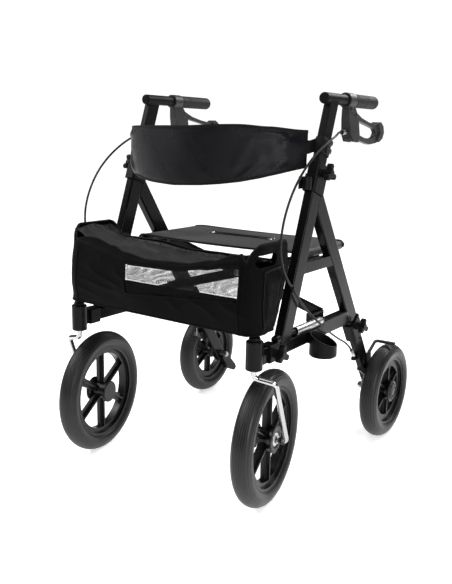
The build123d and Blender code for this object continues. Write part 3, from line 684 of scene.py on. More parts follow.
def add_seat():
    seat = sheet_mesh("seat_sheet", seat_point, 150, 64, "seat_fabric")
    thicken(seat, 0.0022)
    x0, x1, y0, y1 = SLOT
    half = (y1 - y0) / 2
    outline = arc((x0 + half, (y0 + y1) / 2), half, math.pi / 2, math.pi, 16)
    outline += arc((x1 - half, (y0 + y1) / 2), half, -math.pi / 2, math.pi, 16)
    verts = [(x, y, z) for z in SLOT_CUT for x, y in outline]
    cut(seat, piece("slot_cutter", verts, prism_faces(len(outline)), "seat_fabric"))
    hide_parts("seat")
    top = SEAT_TUBE_Z + SEAT_HEM_R

    trims = []
    for name, v in (("front", 0.012), ("rear", 0.988)):
        hem = [seat_point(0.5 + (k / 60 - 0.5) * 0.93, v) for k in range(61)]
        trims.append(flat_band(f"seat_hem_{name}", hem, 0.012, 0.0014, "webbing"))
    rim = [Vector((x, y, top + 0.0006)) for x, y in outline] + [Vector((*outline[0], top + 0.0006))]
    trims.append(flat_band("seat_slot_binding", rim, 0.005, 0.0014, "webbing"))
    strap = sheet_mesh("seat_strap_web", lambda u, v: Vector((
        x0 - 0.022 + u * (x1 - x0 + 0.044), y0 + 0.001 + v * (y1 - y0 - 0.002),
        0.5440 + 0.0042 * smooth(0.1, 0.3, u) * smooth(0.1, 0.3, 1 - u))), 60, 4, "webbing")
    thicken(strap, 0.0016)
    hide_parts("seat_strap")
    trims.append(strap)
    for k, x in enumerate((x0 + 0.004, x1 - 0.004)):
        trims.append(rounded_box(f"seat_slot_clip_{k + 1}", (x, (y0 + y1) / 2, top + 0.0009),
                                 (0.012, 0.023, 0.0028), 0.001, "sleeve_metal"))
    for obj in [seat] + trims:
        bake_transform(obj)


def flat_band(name, line, width, thick, slot, up=Vector((0, 0, 1))):
    """Flat tape along a line, lying on the surface: its width across and its thickness up."""
    verts = []
    for point, ahead in neighbours(line):
        side = ahead.cross(up).normalized()
        rise = side.cross(ahead).normalized()
        for a, b in ((-1, 0), (-0.8, 1), (0.8, 1), (1, 0), (0.8, -0.3), (-0.8, -0.3)):
            verts.append(point + side * (a * width / 2) + rise * (b * thick))
    return tube(name, verts, 6, slot)


def rounded_box(name, centre, size, radius, slot):
    bm = bmesh.new()
    bmesh.ops.create_cube(bm, size=1.0)
    bmesh.ops.scale(bm, vec=size, verts=bm.verts)
    bmesh.ops.bevel(bm, geom=list(bm.edges), offset=radius, segments=3, affect="EDGES")
    bmesh.ops.translate(bm, vec=centre, verts=bm.verts)
    mesh = bpy.data.meshes.new(name)
    bm.to_mesh(mesh)
    bm.free()
    mesh.materials.append(MATERIALS[slot])
    obj = scene_object(name, mesh)
    shade_smooth(obj, 35)
    return obj


add_seat()


# ---- backrest ------------------------------------------------------------------------
BACK_R = 0.260                # radius of the band's arc in plan
BACK_Y = -0.025               # y of the arc's centre
BACK_END = 0.2415             # |x| where the band meets its straps
BACK_TOP = ((-0.24, 0.815), (-0.12, 0.8165), (0.0, 0.8175), (0.144, 0.8225), (0.192, 0.819), (0.24, 0.8135))
BACK_LOW = ((0.0, 0.691), (0.068, 0.694), (0.109, 0.698), (0.146, 0.7035), (0.179, 0.7115), (0.208, 0.721),
            (0.24, 0.733))
CREASES = (
    # folds near the band's ends: x and z of the two ends, width, height
    ((0.140, 0.704), (0.182, 0.752), 0.007, 0.0040),
    ((0.182, 0.752), (0.226, 0.797), 0.007, 0.0034),
    ((0.132, 0.722), (0.160, 0.792), 0.009, 0.0022),
    ((0.172, 0.808), (0.214, 0.801), 0.006, 0.0030),
    ((0.196, 0.732), (0.236, 0.771), 0.007, 0.0034),
    ((0.206, 0.790), (0.237, 0.781), 0.006, 0.0032),
    ((0.150, 0.745), (0.214, 0.768), 0.008, 0.0020),
    ((-0.150, 0.706), (-0.196, 0.752), 0.008, 0.0032),
    ((-0.196, 0.752), (-0.234, 0.786), 0.007, 0.0030),
    ((-0.190, 0.724), (-0.236, 0.768), 0.007, 0.0028),
    ((-0.168, 0.800), (-0.232, 0.788), 0.008, 0.0026),
)


def back_low(x):
    """Lower edge: straight lines between the stations, so that the taper has no steps."""
    x = abs(x)
    for (x0, z0), (x1, z1) in zip(BACK_LOW, BACK_LOW[1:]):
        if x <= x1:
            return z0 + (z1 - z0) * (x - x0) / (x1 - x0)
    return BACK_LOW[-1][1]


def crease_height(x, z):
    total = 0.0
    for (x0, z0), (x1, z1), width, height in CREASES:
        run = Vector((x1 - x0, z1 - z0))
        t = ((x - x0) * run.x + (z - z0) * run.y) / run.length_squared
        inside = smooth(-0.15, 0.2, t) * smooth(-0.15, 0.2, 1 - t)
        if inside <= 0:
            continue
        away = abs((x - x0) * run.y - (z - z0) * run.x) / run.length
        total += 1.35 * height * inside * math.exp(-((away / width) ** 2))
    return total


def squared(wave, power):
    """A sine or cosine flattened towards plus or minus one, for a section between an oval and a box."""
    return math.copysign(abs(wave) ** power, wave)


def back_point(u, v):
    """u runs from the -X end to the +X end, v goes once round the band's flat section."""
    limit = math.asin(BACK_END / BACK_R)
    angle = limit * (2 * u - 1)
    x = BACK_R * math.sin(angle)
    normal = Vector((math.sin(angle), -math.cos(angle), 0))
    top, low = along(BACK_TOP, x), back_low(x)
    half = (top - low) / 2
    turn = 2 * math.pi * v
    lift = squared(math.sin(turn), 0.42)
    side = squared(math.cos(turn), 0.55)
    thick = 0.0030 * (1 - 0.45 * smooth(0.92, 1.0, abs(2 * u - 1)))
    z = (top + low) / 2 + half * lift
    out = thick * side - 0.0042
    seam = 1 - abs(lift) ** 8
    out += 0.0022 * wrinkle((x, z, 0), 0.085, 4) * seam + 0.0009 * wrinkle((x, z, 1), 0.03, 5) * seam
    centre = Vector((0, BACK_Y, 0))
    return centre + normal * (BACK_R + out) + Vector((0, 0, z))


def press_creases(pad):
    """Folds at the band's ends, pressed into both faces where they pull towards the straps."""
    for vertex in pad.data.vertices:
        x, z = vertex.co.x, vertex.co.z
        top, low = along(BACK_TOP, x), back_low(x)
        seam = 1 - min(1.0, abs(2 * (z - low) / (top - low) - 1)) ** 8
        outward = Vector((x, vertex.co.y - BACK_Y, 0)).normalized()
        vertex.co += outward * crease_height(x, z) * seam


def add_backrest():
    pad = sheet_mesh("backrest_pad", lambda u, v: back_point(u, v % 1.0), 170, 72, "backrest_fabric")
    with edited(pad.data) as bm:
        bmesh.ops.remove_doubles(bm, verts=bm.verts, dist=0.00004)
        bmesh.ops.holes_fill(bm, edges=[e for e in bm.edges if e.is_boundary])
        bmesh.ops.recalc_face_normals(bm, faces=bm.faces)
    swell(pad)
    press_creases(pad)
    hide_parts("backrest")
    bands = []
    for where, v, offset in (("top", 0.25, -0.0035), ("bottom", 0.75, 0.0035)):
        edge = [back_point(k / 96, v) for k in range(97)]
        bands.append(bound_edge(f"backrest_binding_{where}", edge, offset))
    for obj in [pad] + bands:
        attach(obj, "handle_right")
        fold_with_frame(obj)


def bound_edge(name, points, offset):
    """Folded tape over an edge of the band: a flattened tube along it."""
    verts = []
    ring = 12
    for p in points:
        normal = Vector((p.x, p.y - BACK_Y, 0)).normalized()
        for k in range(ring):
            a = 2 * math.pi * k / ring
            verts.append(p + normal * (0.0030 * squared(math.cos(a), 0.6))
                         + Vector((0, 0, offset + 0.0040 * squared(math.sin(a), 0.6))))
    return tube(name, verts, ring, "webbing")


def swell(pad):
    """Let the closed form fill like cloth over padding, held along its four sides."""
    def held(p):
        at_edge = p.z > along(BACK_TOP, p.x) - 0.006 or p.z < back_low(p.x) + 0.006
        return abs(p.x) > BACK_END - 0.012 or at_edge

    settings = {"use_pressure": True, "uniform_pressure_force": 2.5, "tension_stiffness": 12,
                "compression_stiffness": 12, "bending_stiffness": 1.2, "quality": 6}
    pinned_cloth(pad, held, 14, 0.0045, settings, gravity=0.0)


add_backrest()


# ---- straps that hold the backrest to the posts --------------------------------------
LEAN = math.radians(19.8)
POST_HALF_X, POST_HALF_Y = 0.0087, 0.0187
STRAP_Z = 0.778
STRAP_WIDTH, TAB_WIDTH = 0.034, 0.031
STRAP_ROWS = 9
ROW_SHARES = [j / (STRAP_ROWS - 1) - 0.5 for j in range(STRAP_ROWS)]
STUD = [(0.0, 0.0004), (0.0, 0.0062), (0.0012, 0.0064), (0.0026, 0.0052), (0.0030, 0.0046), (0.0040, 0.0046),
        (0.0046, 0.0062), (0.0060, 0.0066), (0.0072, 0.0058), (0.0078, 0.0030), (0.0079, 0.0004)]


def post_y(z):
    return -0.233 + (z - 0.357) * math.tan(LEAN)


def add_post_strap(side, sign):
    """Webbing round the post, a stitched tab to the band's end, and two press studs."""
    up = Vector((0, math.sin(LEAN), math.cos(LEAN)))
    back = Vector((0, math.cos(LEAN), -math.sin(LEAN)))
    centre = Vector((sign * FRAME_X, post_y(STRAP_Z), STRAP_Z))
    around = 40
    verts = []
    for k in range(around):
        a = 2 * math.pi * k / around
        cx, cy = squared(math.cos(a), 0.45), squared(math.sin(a), 0.35)
        for outer, shares in ((0, ROW_SHARES), (1, ROW_SHARES[::-1])):
            for share in shares:
                out = 0.0009 + (0.0021 + 0.0006 * math.cos(math.pi * share)) * outer
                point = centre + Vector((cx * (POST_HALF_X + out), 0, 0))
                verts.append(point + back * (cy * (POST_HALF_Y + out)) + up * (share * STRAP_WIDTH))
    loop = piece(f"backrest_strap_{side}", verts, quads(around, 2 * STRAP_ROWS, wrap_rows=True), "webbing")
    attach(loop, "handle_" + side)
    end = Vector((sign * BACK_END, BACK_Y - math.sqrt(BACK_R ** 2 - BACK_END ** 2), STRAP_Z - 0.001))
    start = centre + Vector((-sign * (POST_HALF_X + 0.001), 0, 0)) - back * (POST_HALF_Y - 0.004)
    line = [end + Vector((-sign * 0.012, -0.016, 0)), end, (end + start) / 2 + Vector((0, 0.001, 0)), start,
            start + back * 0.012]
    verts = []
    points = spline_points("tab_line", line, 6)
    for p, ahead in neighbours(points):
        normal = ahead.cross(up).normalized()
        for face, shares in ((-0.0012, ROW_SHARES), (0.0012, ROW_SHARES[::-1])):
            verts += [p + up * (share * TAB_WIDTH) + normal * face for share in shares]
    tab = piece(f"backrest_tab_{side}", verts, quads(len(points), 2 * STRAP_ROWS), "webbing")
    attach(tab, "handle_" + side)
    for k, z in enumerate((0.7695, 0.7865)):
        base = Vector((sign * (FRAME_X + POST_HALF_X + 0.0028), post_y(z) + 0.006, z))
        stud = lathe(f"strap_stud_{side}_{k + 1}", STUD, base, (sign, 0, 0), "brake_steel", 28)
        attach(stud, "handle_" + side)


for side, sign in SIDES:
    add_post_strap(side, sign)


# ---- storage bag ---------------------------------------------------------------------
BAG_HALF = 0.262
FOLD_LINE = ((-0.25, 0.546), (-0.21, 0.541), (-0.154, 0.535), (-0.075, 0.5275), (0.06, 0.528), (0.14, 0.538),
             (0.205, 0.552), (0.25, 0.565))
RIM_LINE = ((-0.25, 0.570), (-0.205, 0.560), (-0.14, 0.5475), (-0.10, 0.536), (-0.04, 0.5265), (0.07, 0.5305),
            (0.14, 0.5435), (0.20, 0.562), (0.25, 0.578))
WINDOW_TOP = ((-0.08, 0.5185), (0.0, 0.5190), (0.06, 0.5205), (0.14, 0.532), (0.20, 0.5435), (0.24, 0.550))
WINDOW_X = (-0.075, 0.226)
REAR_WINDOW_X = (-0.19, 0.165)
SIDE_TOP = 0.588              # top of the side panels
WALL_V = 0.8                  # bag_point's v where the flat wall ends and the rim turns in


def window_low(x):
    return 0.4515 + (x - WINDOW_X[0]) * 0.072


def window_high(x):
    return along(WINDOW_TOP, x)


def rear_low(x):
    return 0.452


def rear_high(x):
    return 0.530


def bag_front(z):
    return -0.352 - 0.008 * math.exp(-((z - 0.472) / 0.05) ** 2)


def bag_rear(z):
    return -0.262 + (z - 0.412) * 0.405 - 0.02 * smooth(0.53, 0.60, z)


def bag_half(z):
    return BAG_HALF - 0.006 * smooth(0.505, 0.588, z)


def bag_bottom(x):
    return 0.4075 - 0.0025 * x / BAG_HALF


def bag_plan(u, z):
    """Point and outward normal of the bag's outline at a height. u runs right, front, left, rear."""
    front, rear, half = bag_front(z), bag_rear(z), bag_half(z)
    fr, rr = 0.038, 0.014
    runs = [("line", Vector((half, rear - rr)), Vector((half, front + fr)), Vector((1, 0))),
            ("arc", Vector((half - fr, front + fr)), fr, 0.0),
            ("line", Vector((half - fr, front)), Vector((-half + fr, front)), Vector((0, -1))),
            ("arc", Vector((-half + fr, front + fr)), fr, -90.0),
            ("line", Vector((-half, front + fr)), Vector((-half, rear - rr)), Vector((-1, 0))),
            ("arc", Vector((-half + rr, rear - rr)), rr, -180.0),
            ("line", Vector((-half + rr, rear)), Vector((half - rr, rear)), Vector((0, 1))),
            ("arc", Vector((half - rr, rear - rr)), rr, -270.0)]
    share = (0.13, 0.06, 0.34, 0.06, 0.13, 0.02, 0.24, 0.02)
    u = u % 1.0
    for run, part in zip(runs, share):
        if u < part or run is runs[-1]:
            t = min(1.0, u / part)
            if run[0] == "line":
                return run[1].lerp(run[2], t), run[3]
            angle = math.radians(run[3] - 90 * t)
            normal = Vector((math.cos(angle), math.sin(angle)))
            return run[1] + normal * run[2], normal
        u -= part


def side_rim(y):
    """Height of a side panel's top along the walker, with rounded ends."""
    radius = 0.034
    height = SIDE_TOP
    for away in (y + 0.352, -0.204 - y):
        if away < radius:
            inside = radius - away
            height = min(height, SIDE_TOP - radius + math.sqrt(max(0.0, radius * radius - inside * inside)))
    return height


def bag_fold(x, y):
    """Height where the wall's flat face ends, and height of the rim itself."""
    at_side = smooth(0.218, 0.238, x) if x > 0 else smooth(0.205, 0.250, -x)
    if y < -0.30:
        fold, rim, top = along(FOLD_LINE, x), along(RIM_LINE, x), side_rim(y)
        return fold + (top - 0.012 - fold) * at_side, rim + (top - rim) * at_side
    if y > bag_rear(0.55) - 0.02:
        rear_rim = 0.553 - 0.011 * smooth(-0.10, 0.02, x)
        fold, top = rear_rim - 0.02, side_rim(min(y, -0.2045))
        return fold + (top - 0.012 - fold) * at_side, rear_rim + (top - rear_rim) * at_side
    top = side_rim(y)
    return top - 0.012, top


def bag_point(u, v):
    """Outer face: v to WALL_V is the wall, from there to 1 the rim that turns inward."""
    base, _ = bag_plan(u, 0.50)
    fold, rim = bag_fold(base.x, base.y)
    low = bag_bottom(base.x)
    if v <= WALL_V:
        z = low + (fold - low) * (v / WALL_V)
        t = 0.0
    else:
        t = (v - WALL_V) / (1 - WALL_V)
        z = fold + (rim - fold) * math.sin(t * math.pi / 2) ** 0.9
    flat, normal = bag_plan(u, z)
    on_front = smooth(-0.30, -0.345, base.y)
    middle = 1 - smooth(0.20, 0.248, abs(base.x))
    turn_in = 0.006 + 0.024 * on_front * middle
    inward = turn_in * (1 - math.cos(t * math.pi / 2))
    tuck = 0.003 * math.exp(-((z - low) / 0.006) ** 1.5)
    free = min(1.0, (z - low) / 0.03)
    p3 = (flat.x, flat.y, z)
    slack = 0.0024 * wrinkle(p3, 0.11, 11) + 0.0016 * wrinkle((flat.x, flat.y, z * 0.5), 0.045, 12)
    slack += 0.0022 * ridge((flat.x * 0.6 + z, flat.y, z * 1.4), 0.06, 13) * smooth(0.42, 0.44, z)
    if t > 0:
        slack += 0.0008 * wrinkle(p3, 0.03, 14) * t
    corner = math.exp(-((abs(base.x) - 0.25) / 0.02) ** 2)
    flare = 0.0045 * corner * math.exp(-((z - low) / 0.010) ** 2) * (base.y < -0.30)
    away = slack * free * (1 - 0.6 * corner) - inward - tuck + flare
    return Vector((flat.x + normal.x * away, flat.y + normal.y * away, z))


def bag_floor(u, v):
    """Floor: from the wall's foot to the middle, in shrinking rings, sagging a little between the forks."""
    edge = bag_point(u, 0.0)
    p = edge.lerp(Vector((edge.x * 0.9, -0.307, edge.z)), v)
    sag = 0.004 * (1 - smooth(0.17, 0.21, abs(p.x)))
    p.z = bag_bottom(p.x) - sag * math.sin(v * math.pi / 2)
    return p


def cut_prism(wall, outline, axis, low, high):
    """Cut a 2-D outline through: axis "y" takes (x, z) points, axis "x" takes (y, z) points."""
    verts = []
    for depth in (low, high):
        verts += [(a, depth, b) if axis == "y" else (depth, a, b) for a, b in outline]
    tool = piece("cutter", verts, prism_faces(len(outline)), "bag_fabric", smooth=False)
    with edited(tool.data) as bm:
        bmesh.ops.recalc_face_normals(bm, faces=bm.faces)
    cut(wall, tool)


def window_outline(x0, x1, low, high, steps=24):
    stations = [x0 + (x1 - x0) * k / steps for k in range(steps + 1)]
    return [(x, low(x)) for x in stations] + [(x, high(x)) for x in stations[::-1]]


def hand_hole_outline():
    y0, y1, low, high, r = -0.338, -0.266, 0.543, 0.568, 0.014
    points = [(y0, high - 0.004), (y0 + 0.004, high), (y1 - 0.004, high), (y1, high - 0.004)]
    points += arc((y1 - r, low + r), r, 0.0, -math.pi / 2)
    return points + arc((y0 + r, low + r), r, -math.pi / 2, -math.pi / 2)


def halved(low, high, go_up):
    """Value between low and high up to which go_up is true."""
    for _ in range(24):
        middle = (low + high) / 2
        if go_up(middle):
            low = middle
        else:
            high = middle
    return (low + high) / 2


def on_wall(u, z):
    """Point of the wall's outer face at this height."""
    base, _ = bag_plan(u, 0.50)
    fold, _ = bag_fold(base.x, base.y)
    low = bag_bottom(base.x)
    return bag_point(u, min(WALL_V, max(0.0, WALL_V * (z - low) / (fold - low))))


def wall_y(x, z, rear=False):
    """y of the front or rear wall at x, z, with the same slack as the wall."""
    span = (0.74, 0.98) if rear else (0.19, 0.53)
    return on_wall(halved(*span, lambda u: (bag_plan(u, z)[0].x > x) != rear), z).y


def add_net(name, span, low, high, rear=False):
    """Net of crossing threads that fills a window, a hair behind the wall's outer face."""
    x0, x1 = span
    pitch, slope, steps = 0.0036, 0.62, 14
    spare = 0.003                 # how far threads run on under the window's edge
    inset = -0.0012 if rear else 0.0012
    depths = {}

    def place(x, z):
        key = (round(x, 3), round(z, 3))
        if key not in depths:
            depths[key] = wall_y(*key, rear)
        return Vector((x, depths[key] + inset, z))

    verts, faces = [], []
    z_low = min(low(x0), low(x1)) - 0.004
    z_high = max(high(x0), high(x1), high((x0 + x1) / 2)) + 0.004
    reach = (z_high - z_low) / slope
    for lean in (1, -1):
        for i in range(int((x1 - x0 + reach) / pitch) + 1):
            foot = x0 - (reach if lean > 0 else 0) + i * pitch
            row = []
            for k in range(steps + 1):
                z = z_low + (z_high - z_low) * k / steps
                x = foot + lean * (z - z_low) / slope
                inside = x0 - spare <= x <= x1 + spare and low(x) - spare <= z <= high(x) + spare
                if inside:
                    row.append(place(x, z))
                if not inside or k == steps:
                    if len(row) > 1:
                        add_thread(verts, faces, row, lean)
                    row = []
    net = piece(name, verts, faces, "net", smooth=False)
    return net


def add_thread(verts, faces, row, lean):
    """Square thread along a row of points."""
    width = 0.00022
    faces += quads(len(row), 4, base=len(verts))
    side = Vector((0.5, 0, -0.8 * lean)).normalized() * width
    deep = Vector((0, width * 0.8, 0))
    for p in row:
        verts += (p - side - deep, p + side - deep, p + side + deep, p - side + deep)


def add_bag():
    count_u, count_v = 300, 44
    wall = sheet_mesh("storage_bag_shell", bag_point, count_u, count_v, "bag_fabric", close_u=True)
    floor = sheet_mesh("bag_floor_part", bag_floor, count_u, 6, "bag_fabric", close_u=True)
    with edited(wall.data) as bm:
        bm.from_mesh(floor.data)
        bmesh.ops.remove_doubles(bm, verts=bm.verts, dist=0.0002)
        bmesh.ops.recalc_face_normals(bm, faces=bm.faces)
    bpy.data.objects.remove(floor)
    thicken(wall, 0.0032)
    cut_prism(wall, window_outline(*WINDOW_X, window_low, window_high), "y", -0.375, -0.325)
    cut_prism(wall, window_outline(*REAR_WINDOW_X, rear_low, rear_high, 6), "y", -0.285, -0.185)
    cut_prism(wall, hand_hole_outline(), "x", 0.2, 0.28)
    shade_smooth(wall, 50)
    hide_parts("storage_bag")
    pieces = [wall, add_net("bag_net_front", WINDOW_X, window_low, window_high),
              add_net("bag_net_rear", REAR_WINDOW_X, rear_low, rear_high, rear=True)]
    # tape round the front window
    outline = window_outline(*WINDOW_X, window_low, window_high, 30)
    line = [Vector((x, wall_y(x, z) - 0.0004, z)) for x, z in outline]
    line.append(line[0])
    pieces.append(flat_band("bag_window_tape", line, 0.005, 0.0009, "bag_fabric", up=Vector((0, -1, 0))))
    # piping along the foot and the rim
    foot = [bag_point(k / 240, 0.012) for k in range(241)]
    pieces.append(swept("bag_piping_foot", foot, circle(0.0022, 8), "bag_fabric"))
    rim = [bag_point(k / 300, 1.0) for k in range(301)]
    pieces.append(swept("bag_piping_rim", rim, circle(0.0024, 8), "webbing"))
    for side, u in (("right", 0.1885), ("left", 0.5315)):
        pieces += add_side_pocket(side)
        seam = [bag_point(u, 0.79 * k / 40) for k in range(41)]
        pieces.append(swept(f"bag_corner_piping_{side}", seam, circle(0.0013, 8), "bag_fabric"))
    lid = add_lid()
    pieces.append(lid)
    for obj in pieces:
        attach(obj, "frame_right")
        fold_with_frame(obj)


def side_point(side, y, z, out):
    """Point on a side panel's outer face, out metres proud of it."""
    right = side == "right"
    span = (0.0, 0.13) if right else (0.59, 0.72)
    p = on_wall(halved(*span, lambda u: (bag_plan(u, 0.50)[0].y > y) == right), z)
    return Vector((p.x + (out if right else -out), p.y, z))


def add_side_pocket(side):
    """Flat patch pocket with piped edges on a side panel."""
    y_front, y_rear = -0.326, -0.252
    z_low, z_high = 0.418, 0.533

    def point(u, v):
        y = y_front + (y_rear - y_front) * u
        top = z_high + 0.006 * u
        z = z_low + (top - z_low) * v
        edge = min(u, 1 - u, v, 1 - v)
        puff = 0.0012 + 0.0042 * smooth(0.0, 0.25, edge) + 0.0008 * wrinkle((y, z, 3), 0.03, 21)
        return side_point(side, y, z, puff)

    patch = sheet_mesh(f"bag_pocket_{side}", point, 40, 60, "bag_fabric")
    thicken(patch, 0.0012)
    line = [point(0, k / 30) for k in range(31)] + [point(k / 20, 1) for k in range(1, 21)]
    line += [point(1, 1 - k / 30) for k in range(1, 31)]
    pipe = swept(f"bag_pocket_piping_{side}", line, circle(0.0019, 8), "webbing")
    return [patch, pipe]


def add_lid():
    """Loose cloth lid: from the rear rim over the opening to just under the front rim."""
    x0, x1 = -0.2515, 0.226

    def point(u, v):
        x = x0 + (x1 - x0) * u
        climb = smooth(-0.188, -0.2515, x)
        rear = Vector((x * 0.985 - 0.004, -0.214, 0.5480 - 0.011 * smooth(-0.12, 0.02, x) + 0.030 * climb))
        front_z = along(RIM_LINE, x) - 0.0055 + 0.012 * climb
        front = Vector((x, -0.3265 - 0.008 * climb, front_z))
        p = rear.lerp(front, v)
        belly = math.sin(math.pi * v)
        p.z += 0.003 * belly * (1 - (2 * u - 1) ** 4)
        loose = max(0.0, math.sin(math.pi * v)) ** 0.5
        folds = 0.0055 * wrinkle((x, p.y, 0), 0.06, 31) + 0.0075 * ridge((x * 0.8, p.y * 1.5, 0), 0.075, 33)
        p.z += loose * folds
        return p

    lid = sheet_mesh("bag_lid", point, 120, 48, "lid_fabric")
    drape(lid)
    finer = lid.modifiers.new("soft", "SUBSURF")
    finer.levels = finer.render_levels = 1
    apply_modifiers(lid)
    thicken(lid, 0.0016)
    return lid


def drape(lid):
    """Cloth a little larger than its opening, held along its four sides, sags and crumples."""
    xs = [v.co.x for v in lid.data.vertices]
    ys = [v.co.y for v in lid.data.vertices]
    low_x, high_x, low_y, high_y = min(xs), max(xs), min(ys), max(ys)

    def held(p):
        return p.y > high_y - 0.003 or p.x < low_x + 0.003 or p.x > high_x - 0.003 or p.y < low_y + 0.0025

    settings = {"quality": 8, "mass": 0.2, "tension_stiffness": 20, "compression_stiffness": 20,
                "bending_stiffness": 0.05, "shrink_min": -0.10, "shrink_max": -0.10}
    pinned_cloth(lid, held, 24, 0.007, settings, own_gap=0.0015)


add_bag()


# ---- tyres ---------------------------------------------------------------------------
TYRE_HALF, TYRE_TALL = 0.024, 0.022      # half the width and half the height of the oval section
WHEELS = (
    # end, radius, rim radius
    ("rear", 0.127, 0.092),
    ("front", 0.1525, 0.116),
)
GROOVES = (
    # distance from the tyre's middle, depth, half width
    (0.0025, 0.0011, 0.00085), (0.0075, 0.0011, 0.00085), (0.0125, 0.0011, 0.00085),
    (0.0185, 0.0008, 0.0007), (0.0225, 0.0006, 0.0007),
)


def tyre_profile(radius, rim_radius):
    """(along, radius) outline: oval section with rounded grooves in the tread and a sidewall step."""
    middle = radius - TYRE_TALL
    points = []
    steps = 260
    low = math.asin(max(-1.0, (rim_radius - middle) / TYRE_TALL))
    for k in range(steps + 1):
        angle = low + (math.pi - 2 * low) * k / steps
        across = TYRE_HALF * math.cos(angle)
        groove = 0.0
        if math.sin(angle) > 0:
            for centre, deep, half in GROOVES:
                groove += deep * math.exp(-(((abs(across) - centre) / half) ** 4))
        points.append((across * (1 - groove * 12), middle + TYRE_TALL * math.sin(angle) - groove))
    return points


def wheel_axis(end, side):
    """Middle of a wheel and the direction of its axle."""
    low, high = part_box(f"{end}_tyre_{side}")
    return (low + high) / 2, Vector(JOINTS[f"{end}_wheel_spin_{side}"]["axis"])


def add_tyres():
    for side, _ in SIDES:
        for end, radius, rim_radius in WHEELS:
            node = f"{end}_tyre_{side}"
            centre, axis = wheel_axis(end, side)
            tyre = lathe(node + "_tread", tyre_profile(radius, rim_radius), centre, axis, "tyre_rubber", 144)
            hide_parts(node)
            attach(tyre, f"{end}_wheel_{side}")


add_tyres()


# ---- wheel hubs ----------------------------------------------------------------------
def join(name, parts):
    """One object from several with the same material."""
    mesh = bpy.data.meshes.new(name)
    mesh.materials.append(parts[0].data.materials[0])
    with edited(mesh) as bm:
        for part in parts:
            bm.from_mesh(part.data)
    for part in parts:
        bpy.data.objects.remove(part)
    return scene_object(name, mesh)


def studs(name, centre, axis, radius, count, height, size):
    """Ring of small domed studs on a hub's face."""
    across = axis.orthogonal().normalized()
    up = axis.cross(across)
    dome = [(-0.0006, 0.0002), (-0.0006, size), (height * 0.5, size * 0.92), (height * 0.85, size * 0.6),
            (height, size * 0.2), (height, 0.0001)]
    parts = []
    for k in range(count):
        angle = 2 * math.pi * k / count
        place = centre + (across * math.cos(angle) + up * math.sin(angle)) * radius
        parts.append(lathe(f"{name}_{k}", dome, place, axis, "lever_plastic", 12))
    return join(name, parts)


REAR_CAP = [
    (0.0105, 0.0194), (0.0105, 0.0275), (0.0202, 0.0288), (0.0216, 0.0292), (0.0230, 0.0284),
    (0.0237, 0.0266), (0.0230, 0.0254), (0.0240, 0.0240), (0.0262, 0.0172), (0.0266, 0.0130),
    (0.0260, 0.0112), (0.0268, 0.0096), (0.0276, 0.0060), (0.0278, 0.0004), (0.0264, 0.0004),
    (0.0264, 0.0176), (0.0203, 0.0182), (0.0203, 0.0194),
]
FRONT_FLANGE = [
    (0.0105, 0.0214), (0.0105, 0.0295), (0.0205, 0.0308), (0.0217, 0.0312), (0.0226, 0.0302),
    (0.0229, 0.0242), (0.0221, 0.0228), (0.0221, 0.0165), (0.0203, 0.0165), (0.0203, 0.0214),
]
FRONT_WASHER = [(0.0203, 0.0068), (0.0203, 0.0150), (0.0218, 0.0155), (0.0227, 0.0144), (0.0224, 0.0110),
                (0.0228, 0.0096), (0.0226, 0.0068)]
SWIVEL_CAP = [(0.0004, 0.0100), (0.0004, 0.0122), (0.0012, 0.0127), (0.0050, 0.0122), (0.0078, 0.0108),
              (0.0094, 0.0080), (0.0098, 0.0004), (0.0087, 0.0004), (0.0087, 0.0100)]
CASTER_X, CASTER_Y = 0.249, -0.328
HUBS = {
    # turned pieces, then the studs: their face, ring radius, count, height and radius
    "rear": ([("cap", REAR_CAP, "rim_plastic", 64)], (0.0246, 0.0212, 10, 0.0016, 0.0023)),
    "front": ([("flange", FRONT_FLANGE, "rim_plastic", 64), ("washer", FRONT_WASHER, "sleeve_metal", 48)],
              (0.0226, 0.0272, 20, 0.0009, 0.0016)),
}


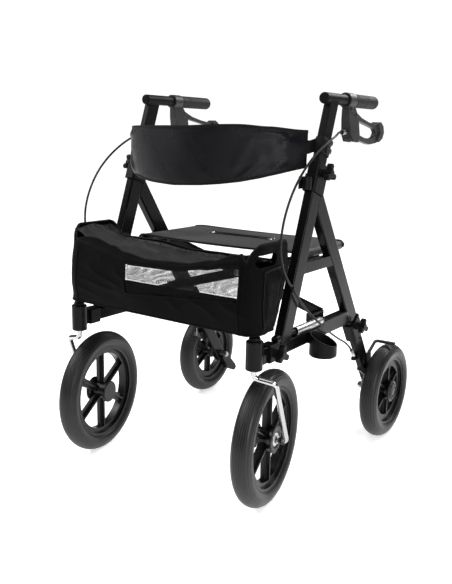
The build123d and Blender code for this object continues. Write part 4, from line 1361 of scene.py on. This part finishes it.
def add_hubs():
    for side, sign in SIDES:
        for end, _, _ in WHEELS:
            centre, axis = wheel_axis(end, side)
            axis.normalize()
            if axis.x * sign < 0:
                axis = -axis
            turned, (face, *ring) = HUBS[end]
            parts = [lathe(f"{end}_hub_{name}_{side}", profile, centre, axis, slot, count)
                     for name, profile, slot, count in turned]
            parts.append(studs(f"{end}_hub_studs_{side}", centre + axis * face, axis, *ring))
            for obj in parts:
                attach(obj, f"{end}_wheel_{side}")
        # dust cap over the swivel's top nut
        top = Vector((sign * CASTER_X, CASTER_Y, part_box(f"front_arm_{side}")[1].z))
        cap = lathe(f"swivel_cap_{side}", SWIVEL_CAP, top, (0, 0, 1), "moulded_plastic", 40)
        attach(cap, "caster_" + side)


add_hubs()


# ---- small bright pieces -------------------------------------------------------------
PIVOT_SLEEVE = [(-0.0600, 0.0088), (-0.0600, 0.0093), (-0.0592, 0.0095), (0.0592, 0.0095), (0.0600, 0.0093),
                (0.0600, 0.0088)]
HOUSING_SCREWS = (
    # x, y, z, head's radius
    (0.2620, 0.0720, 0.8500, 0.0050),
    (0.2613, 0.0440, 0.8620, 0.0042),
)


def adjuster_profile():
    """Barrel with five knurled rings and a narrower end."""
    rings = [(-0.0074, 0.0030), (-0.0074, 0.0052), (-0.0066, 0.0060)]
    for k in range(5):
        at = -0.0058 + k * 0.0022
        rings += [(at, 0.0061), (at + 0.0008, 0.0056), (at + 0.0014, 0.0061)]
    return rings + [(0.0058, 0.0060), (0.0066, 0.0052), (0.0128, 0.0052), (0.0128, 0.0030)]


def add_small_pieces():
    """Sleeves over the lower pivot rods, cable adjusters, and screws on the housings' outer faces."""
    for side, sign in SIDES:
        sleeve = lathe(f"pivot_sleeve_{side}", PIVOT_SLEEVE, (sign * 0.258, -0.116, 0.382), (0, 1, 0),
                       "sleeve_metal", 40)
        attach(sleeve, "cross_a" if side == "right" else "cross_b")
        barrel = lathe(f"cable_adjuster_{side}", adjuster_profile(), (sign * 0.252, 0.0262, 0.811), (0, 1, 0),
                       "fastener_steel", 28)
        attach(barrel, "handle_" + side)
        for k, (x, y, z, size) in enumerate(HOUSING_SCREWS):
            head = [(-0.004, 0.0002), (-0.004, size), (0.0010, size), (0.0026, size * 0.82),
                    (0.0034, size * 0.5), (0.0034, size * 0.4), (0.0018, size * 0.32), (0.0018, 0.0002)]
            screw = lathe(f"housing_screw_{side}_{k + 1}", head, (sign * x, y, z), (sign, 0, 0),
                          "brake_steel", 20)
            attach(screw, "handle_" + side)


add_small_pieces()
